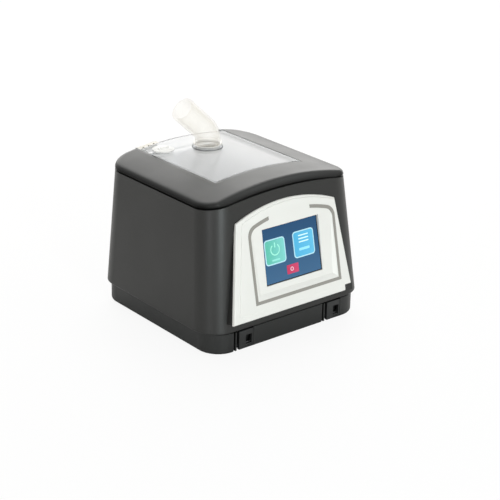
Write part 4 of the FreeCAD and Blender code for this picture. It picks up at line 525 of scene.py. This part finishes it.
def swept_ring(name, radius, width, thick, start, turn, finish):
    """Part of a flat ring that faces -Y, spun from a small square, in millimetres and degrees.

    A part ring keeps the square as its ends. A full one has none, so it starts as a bare loop.
    """
    bpy.ops.object.select_all(action="DESELECT")
    bpy.ops.mesh.primitive_plane_add(size=1)
    obj = bpy.context.active_object
    obj.name = name
    obj.scale = (mm(width), mm(thick), 1)
    obj.location = (mm(radius), 0, 0)
    bpy.ops.object.transform_apply(location=True, rotation=False, scale=True)

    def sweep():
        if turn == 360:
            bpy.ops.mesh.delete(type="ONLY_FACE")
            bpy.ops.mesh.select_all(action="SELECT")
        bpy.ops.mesh.spin(steps=36, angle=math.radians(turn), center=(0, 0, 0), axis=(0, 1, 0))
        close_seam()

    edit_mode(obj, sweep)
    obj.rotation_euler = (0, math.radians(start), 0)
    bpy.ops.object.transform_apply(location=False, rotation=True, scale=False)
    obj.data.materials.append(finish)
    return obj


def close_seam():
    """Merge the two ends of a spun mesh in edit mode, and turn its faces outwards."""
    bpy.ops.mesh.select_all(action="SELECT")
    bpy.ops.mesh.remove_doubles(threshold=mm(0.01))
    bpy.ops.mesh.normals_make_consistent(inside=False)


# ---------------------------------------------------------------- the lit picture

INK = 0.12        # how thick a piece of the picture is, in millimetres
LAYER = 0.1       # how far each layer lies over the last
GREEN_X = -16.1   # the middles of the two square keys
BLUE_X = 14.7


def show_on_glass(obj, right, layer, along):
    """Lay a piece of the picture on the glass, so far right and along the leaning panel."""
    lean_y, lean_z = math.sin(PANEL_LEAN), math.cos(PANEL_LEAN)
    depth = GLASS_DEPTH - INK / 2 - LAYER * layer
    settle(obj, right, SHELL_Y - PANEL_REACH + along * lean_y + depth * lean_z,
           PANEL_FOOT + along * lean_z - depth * lean_y, -PANEL_LEAN)
    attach(obj, "machine")


def lit_tile(name, middle, along, width, height, inside):
    """A square key of the picture: a pale rim with a coloured field in it."""
    rim = plate(f"{name}_rim", width, height, INK, 3, tile_rim)
    show_on_glass(rim, middle, 0, along)
    field = plate(f"{name}_field", width - 2, height - 2, INK, 2.1, inside)
    show_on_glass(field, middle, 1, along)


def show_picture():
    """Two square keys with their signs, a small red key, and the dark edge of the glass."""
    edge = plate("screen_edge", 60.2, 47.2, 0.1, 0, mask_black)
    hollow_out(edge, 0.7)
    show_on_glass(edge, 1.1, 0, 49.8)
    lit_tile("tile_power", GREEN_X, 52.7, 21.8, 21.4, tile_green)
    ring = swept_ring("power_ring", 4.5, 1.0, INK, -125, 290, sign_pale)
    show_on_glass(ring, GREEN_X, 2, 54.2)
    bar = plate("power_bar", 1.1, 4.2, INK, 0.4, sign_pale)
    show_on_glass(bar, GREEN_X, 2, 58.0)
    caption = plate("power_caption", 8.4, 1.5, INK, 0.5, caption_pale)
    show_on_glass(caption, GREEN_X, 2, 45.6)
    lit_tile("tile_list", BLUE_X, 52.8, 22.6, 22.4, tile_blue)
    top_line = plate("list_bar_0", 10.6, 1.0, INK, 0.4, sign_white)
    lines = [top_line, twin(top_line, "list_bar_1"), twin(top_line, "list_bar_2")]
    for line, along in zip(lines, (59.9, 57.2, 54.5)):
        show_on_glass(line, BLUE_X, 2, along)
    caption = plate("list_caption", 11.4, 2.2, INK, 0.7, caption_blue)
    show_on_glass(caption, BLUE_X, 2, 48.4)
    key = plate("red_key", 12.4, 7.6, INK, 0.5, key_red)
    show_on_glass(key, 0.3, 0, 34.4)
    ring = swept_ring("red_key_ring", 1.4, 0.7, INK, 0, 360, sign_pink)
    show_on_glass(ring, -0.6, 1, 34.4)


show_picture()


# ---------------------------------------------------------------- small trim

def port_ring():
    """The smoked ring that lies on the lid round the foot of the port's collar."""
    bpy.ops.object.select_all(action="DESELECT")
    bpy.ops.mesh.primitive_circle_add(
        vertices=12, radius=mm(0.32), rotation=(math.radians(90), 0, 0),
        location=(mm(COLLAR_RADIUS + 0.26), 0, 0), fill_type="NOTHING")
    ring = bpy.context.active_object
    ring.name = "port_ring"
    bpy.ops.object.transform_apply(location=True, rotation=True, scale=True)

    def sweep():
        bpy.ops.mesh.spin(steps=72, angle=math.tau, center=(0, 0, 0), axis=(0, 0, 1))
        close_seam()

    edit_mode(ring, sweep)
    settle(ring, 0, PORT_Y, LID_TOP)
    bpy.ops.object.shade_smooth_by_angle(angle=math.radians(60))
    ring.data.materials.append(smoked_silicone)
    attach(ring, "lid")


def lid_back_edge():
    """The thin smoked strip along the arched back edge of the lid, beside the lift tab."""
    strip = swept_ring("lid_edge_back", LID_BACK_RADIUS, 0.5, 0.5, -81.6, 12.8,
                       smoked_silicone)
    settle(strip, 0, LID_BACK_Y, LID_BACK_TOP - LID_BACK_RADIUS)
    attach(strip, "lid")


def lid_side_edges():
    """The thin soft strips that fill the two gaps between the lid and the rim."""
    left = plate("lid_edge_left", 0.5, 1.2, LID_GAP_LENGTH, 0, silicone)
    ease_along(left, 1, 0.2)
    right = twin(left, "lid_edge_right")
    for strip, place in ((left, -LID_GAP_X), (right, LID_GAP_X)):
        settle(strip, place, LID_GAP_Y, LID_GAP_Z)
        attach(strip, "lid")


def latch_lips():
    """The lower lips of the latch windows, in front of the pins and flush with the clips."""
    left = plate("latch_lip_left", 6.4, 1.6, 1.3, 0, black_acetal)
    ease_along(left, 0, 0.35)
    right = twin(left, "latch_lip_right")
    for lip, place, body in ((left, CLIP_LEFT_X, "clip_left"),
                             (right, CLIP_RIGHT_X, "clip_right")):
        settle(lip, place, CLIP_Y, CLIP_LIP_Z)
        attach(lip, body)


port_ring()
lid_back_edge()
lid_side_edges()
latch_lips()


# ---------------------------------------------------------------- the room

def lay_floor():
    """A white table top that runs out of sight, and shows white behind the machine."""
    bpy.ops.object.select_all(action="DESELECT")
    bpy.ops.mesh.primitive_plane_add(size=12, location=(0, 0, 0))
    floor = bpy.context.active_object
    floor.name = "table_top"
    material, tree, shader = new_material("table_white", Roughness=0.6)
    shader.inputs["Base Color"].default_value = linear("#F4F4F4")
    path = add_node(tree, "ShaderNodeLightPath", {})
    glow = add_node(tree, "ShaderNodeEmission", {"Color": (1, 1, 1, 1), "Strength": 1.0})
    share = add_node(tree, "ShaderNodeMath", {"operation": "MULTIPLY", 1: 0.9},
                     [(0, path.outputs["Is Camera Ray"])])
    both = add_node(tree, "ShaderNodeMixShader", {},
                    [(0, share.outputs[0]), (1, shader.outputs[0]), (2, glow.outputs[0])])
    tree.links.new(both.outputs[0], tree.nodes["Material Output"].inputs["Surface"])
    floor.data.materials.append(material)


def light_room():
    """A pale room: even warm light all round, white to the camera, in glass and in gloss."""
    world = bpy.data.worlds.new("pale_room")
    bpy.context.scene.world = world
    world.use_nodes = True
    tree = world.node_tree
    tree.nodes.clear()
    path = add_node(tree, "ShaderNodeLightPath", {})
    through = add_node(tree, "ShaderNodeMath", {"operation": "MAXIMUM"},
                       [(0, path.outputs["Is Camera Ray"]),
                        (1, path.outputs["Is Transmission Ray"])])
    seen = add_node(tree, "ShaderNodeMath", {"operation": "MAXIMUM"},
                    [(0, through.outputs[0]), (1, path.outputs["Is Glossy Ray"])])
    strength = add_node(tree, "ShaderNodeMapRange", {"To Min": 0.43, "To Max": 1.0},
                        [("Value", seen.outputs[0])])
    colour = add_node(tree, "ShaderNodeMix",
                      {"data_type": "RGBA", 6: (1.0, 0.98, 0.93, 1), 7: (1, 1, 1, 1)},
                      [(0, seen.outputs[0])])
    room = add_node(tree, "ShaderNodeBackground", {},
                    [("Color", colour.outputs[2]), ("Strength", strength.outputs["Result"])])
    add_node(tree, "ShaderNodeOutputWorld", {}, [("Surface", room.outputs[0])])


def softbox(name, place, aim, size, power, colour=(1, 1, 1)):
    """A large soft lamp that looks at a point, in metres and watts."""
    lamp = bpy.data.lights.new(name, "AREA")
    lamp.shape = "RECTANGLE"
    lamp.size, lamp.size_y = size
    lamp.energy = power
    lamp.color = colour
    holder = bpy.data.objects.new(name, lamp)
    bpy.context.scene.collection.objects.link(holder)
    turn = (Vector(aim) - Vector(place)).to_track_quat("-Z", "Y").to_matrix().to_4x4()
    holder.matrix_world = Matrix.Translation(Vector(place)) @ turn


lay_floor()
light_room()
softbox("softbox_above", (0.3, 0.6, 1.5), (0, 0, 0.1), (1.4, 1.0), 10)
softbox("softbox_back", (0.75, 1.15, 0.62), (0, 0, 0.12), (1.7, 0.9), 9, (1, 0.99, 0.96))
softbox("softbox_front", (-0.34, -1.35, 0.42), (0, 0, 0.1), (0.24, 0.8), 8.6, (0.9, 0.99, 1))
softbox("softbox_left", (-1.25, -0.72, 0.34), (0, 0, 0.1), (0.3, 0.66), 2.4, (0.95, 0.97, 1))
softbox("softbox_right", (0.9, -1.1, 1.0), (0, 0, 0.08), (0.7, 0.7), 2.0, (0.95, 1, 1))
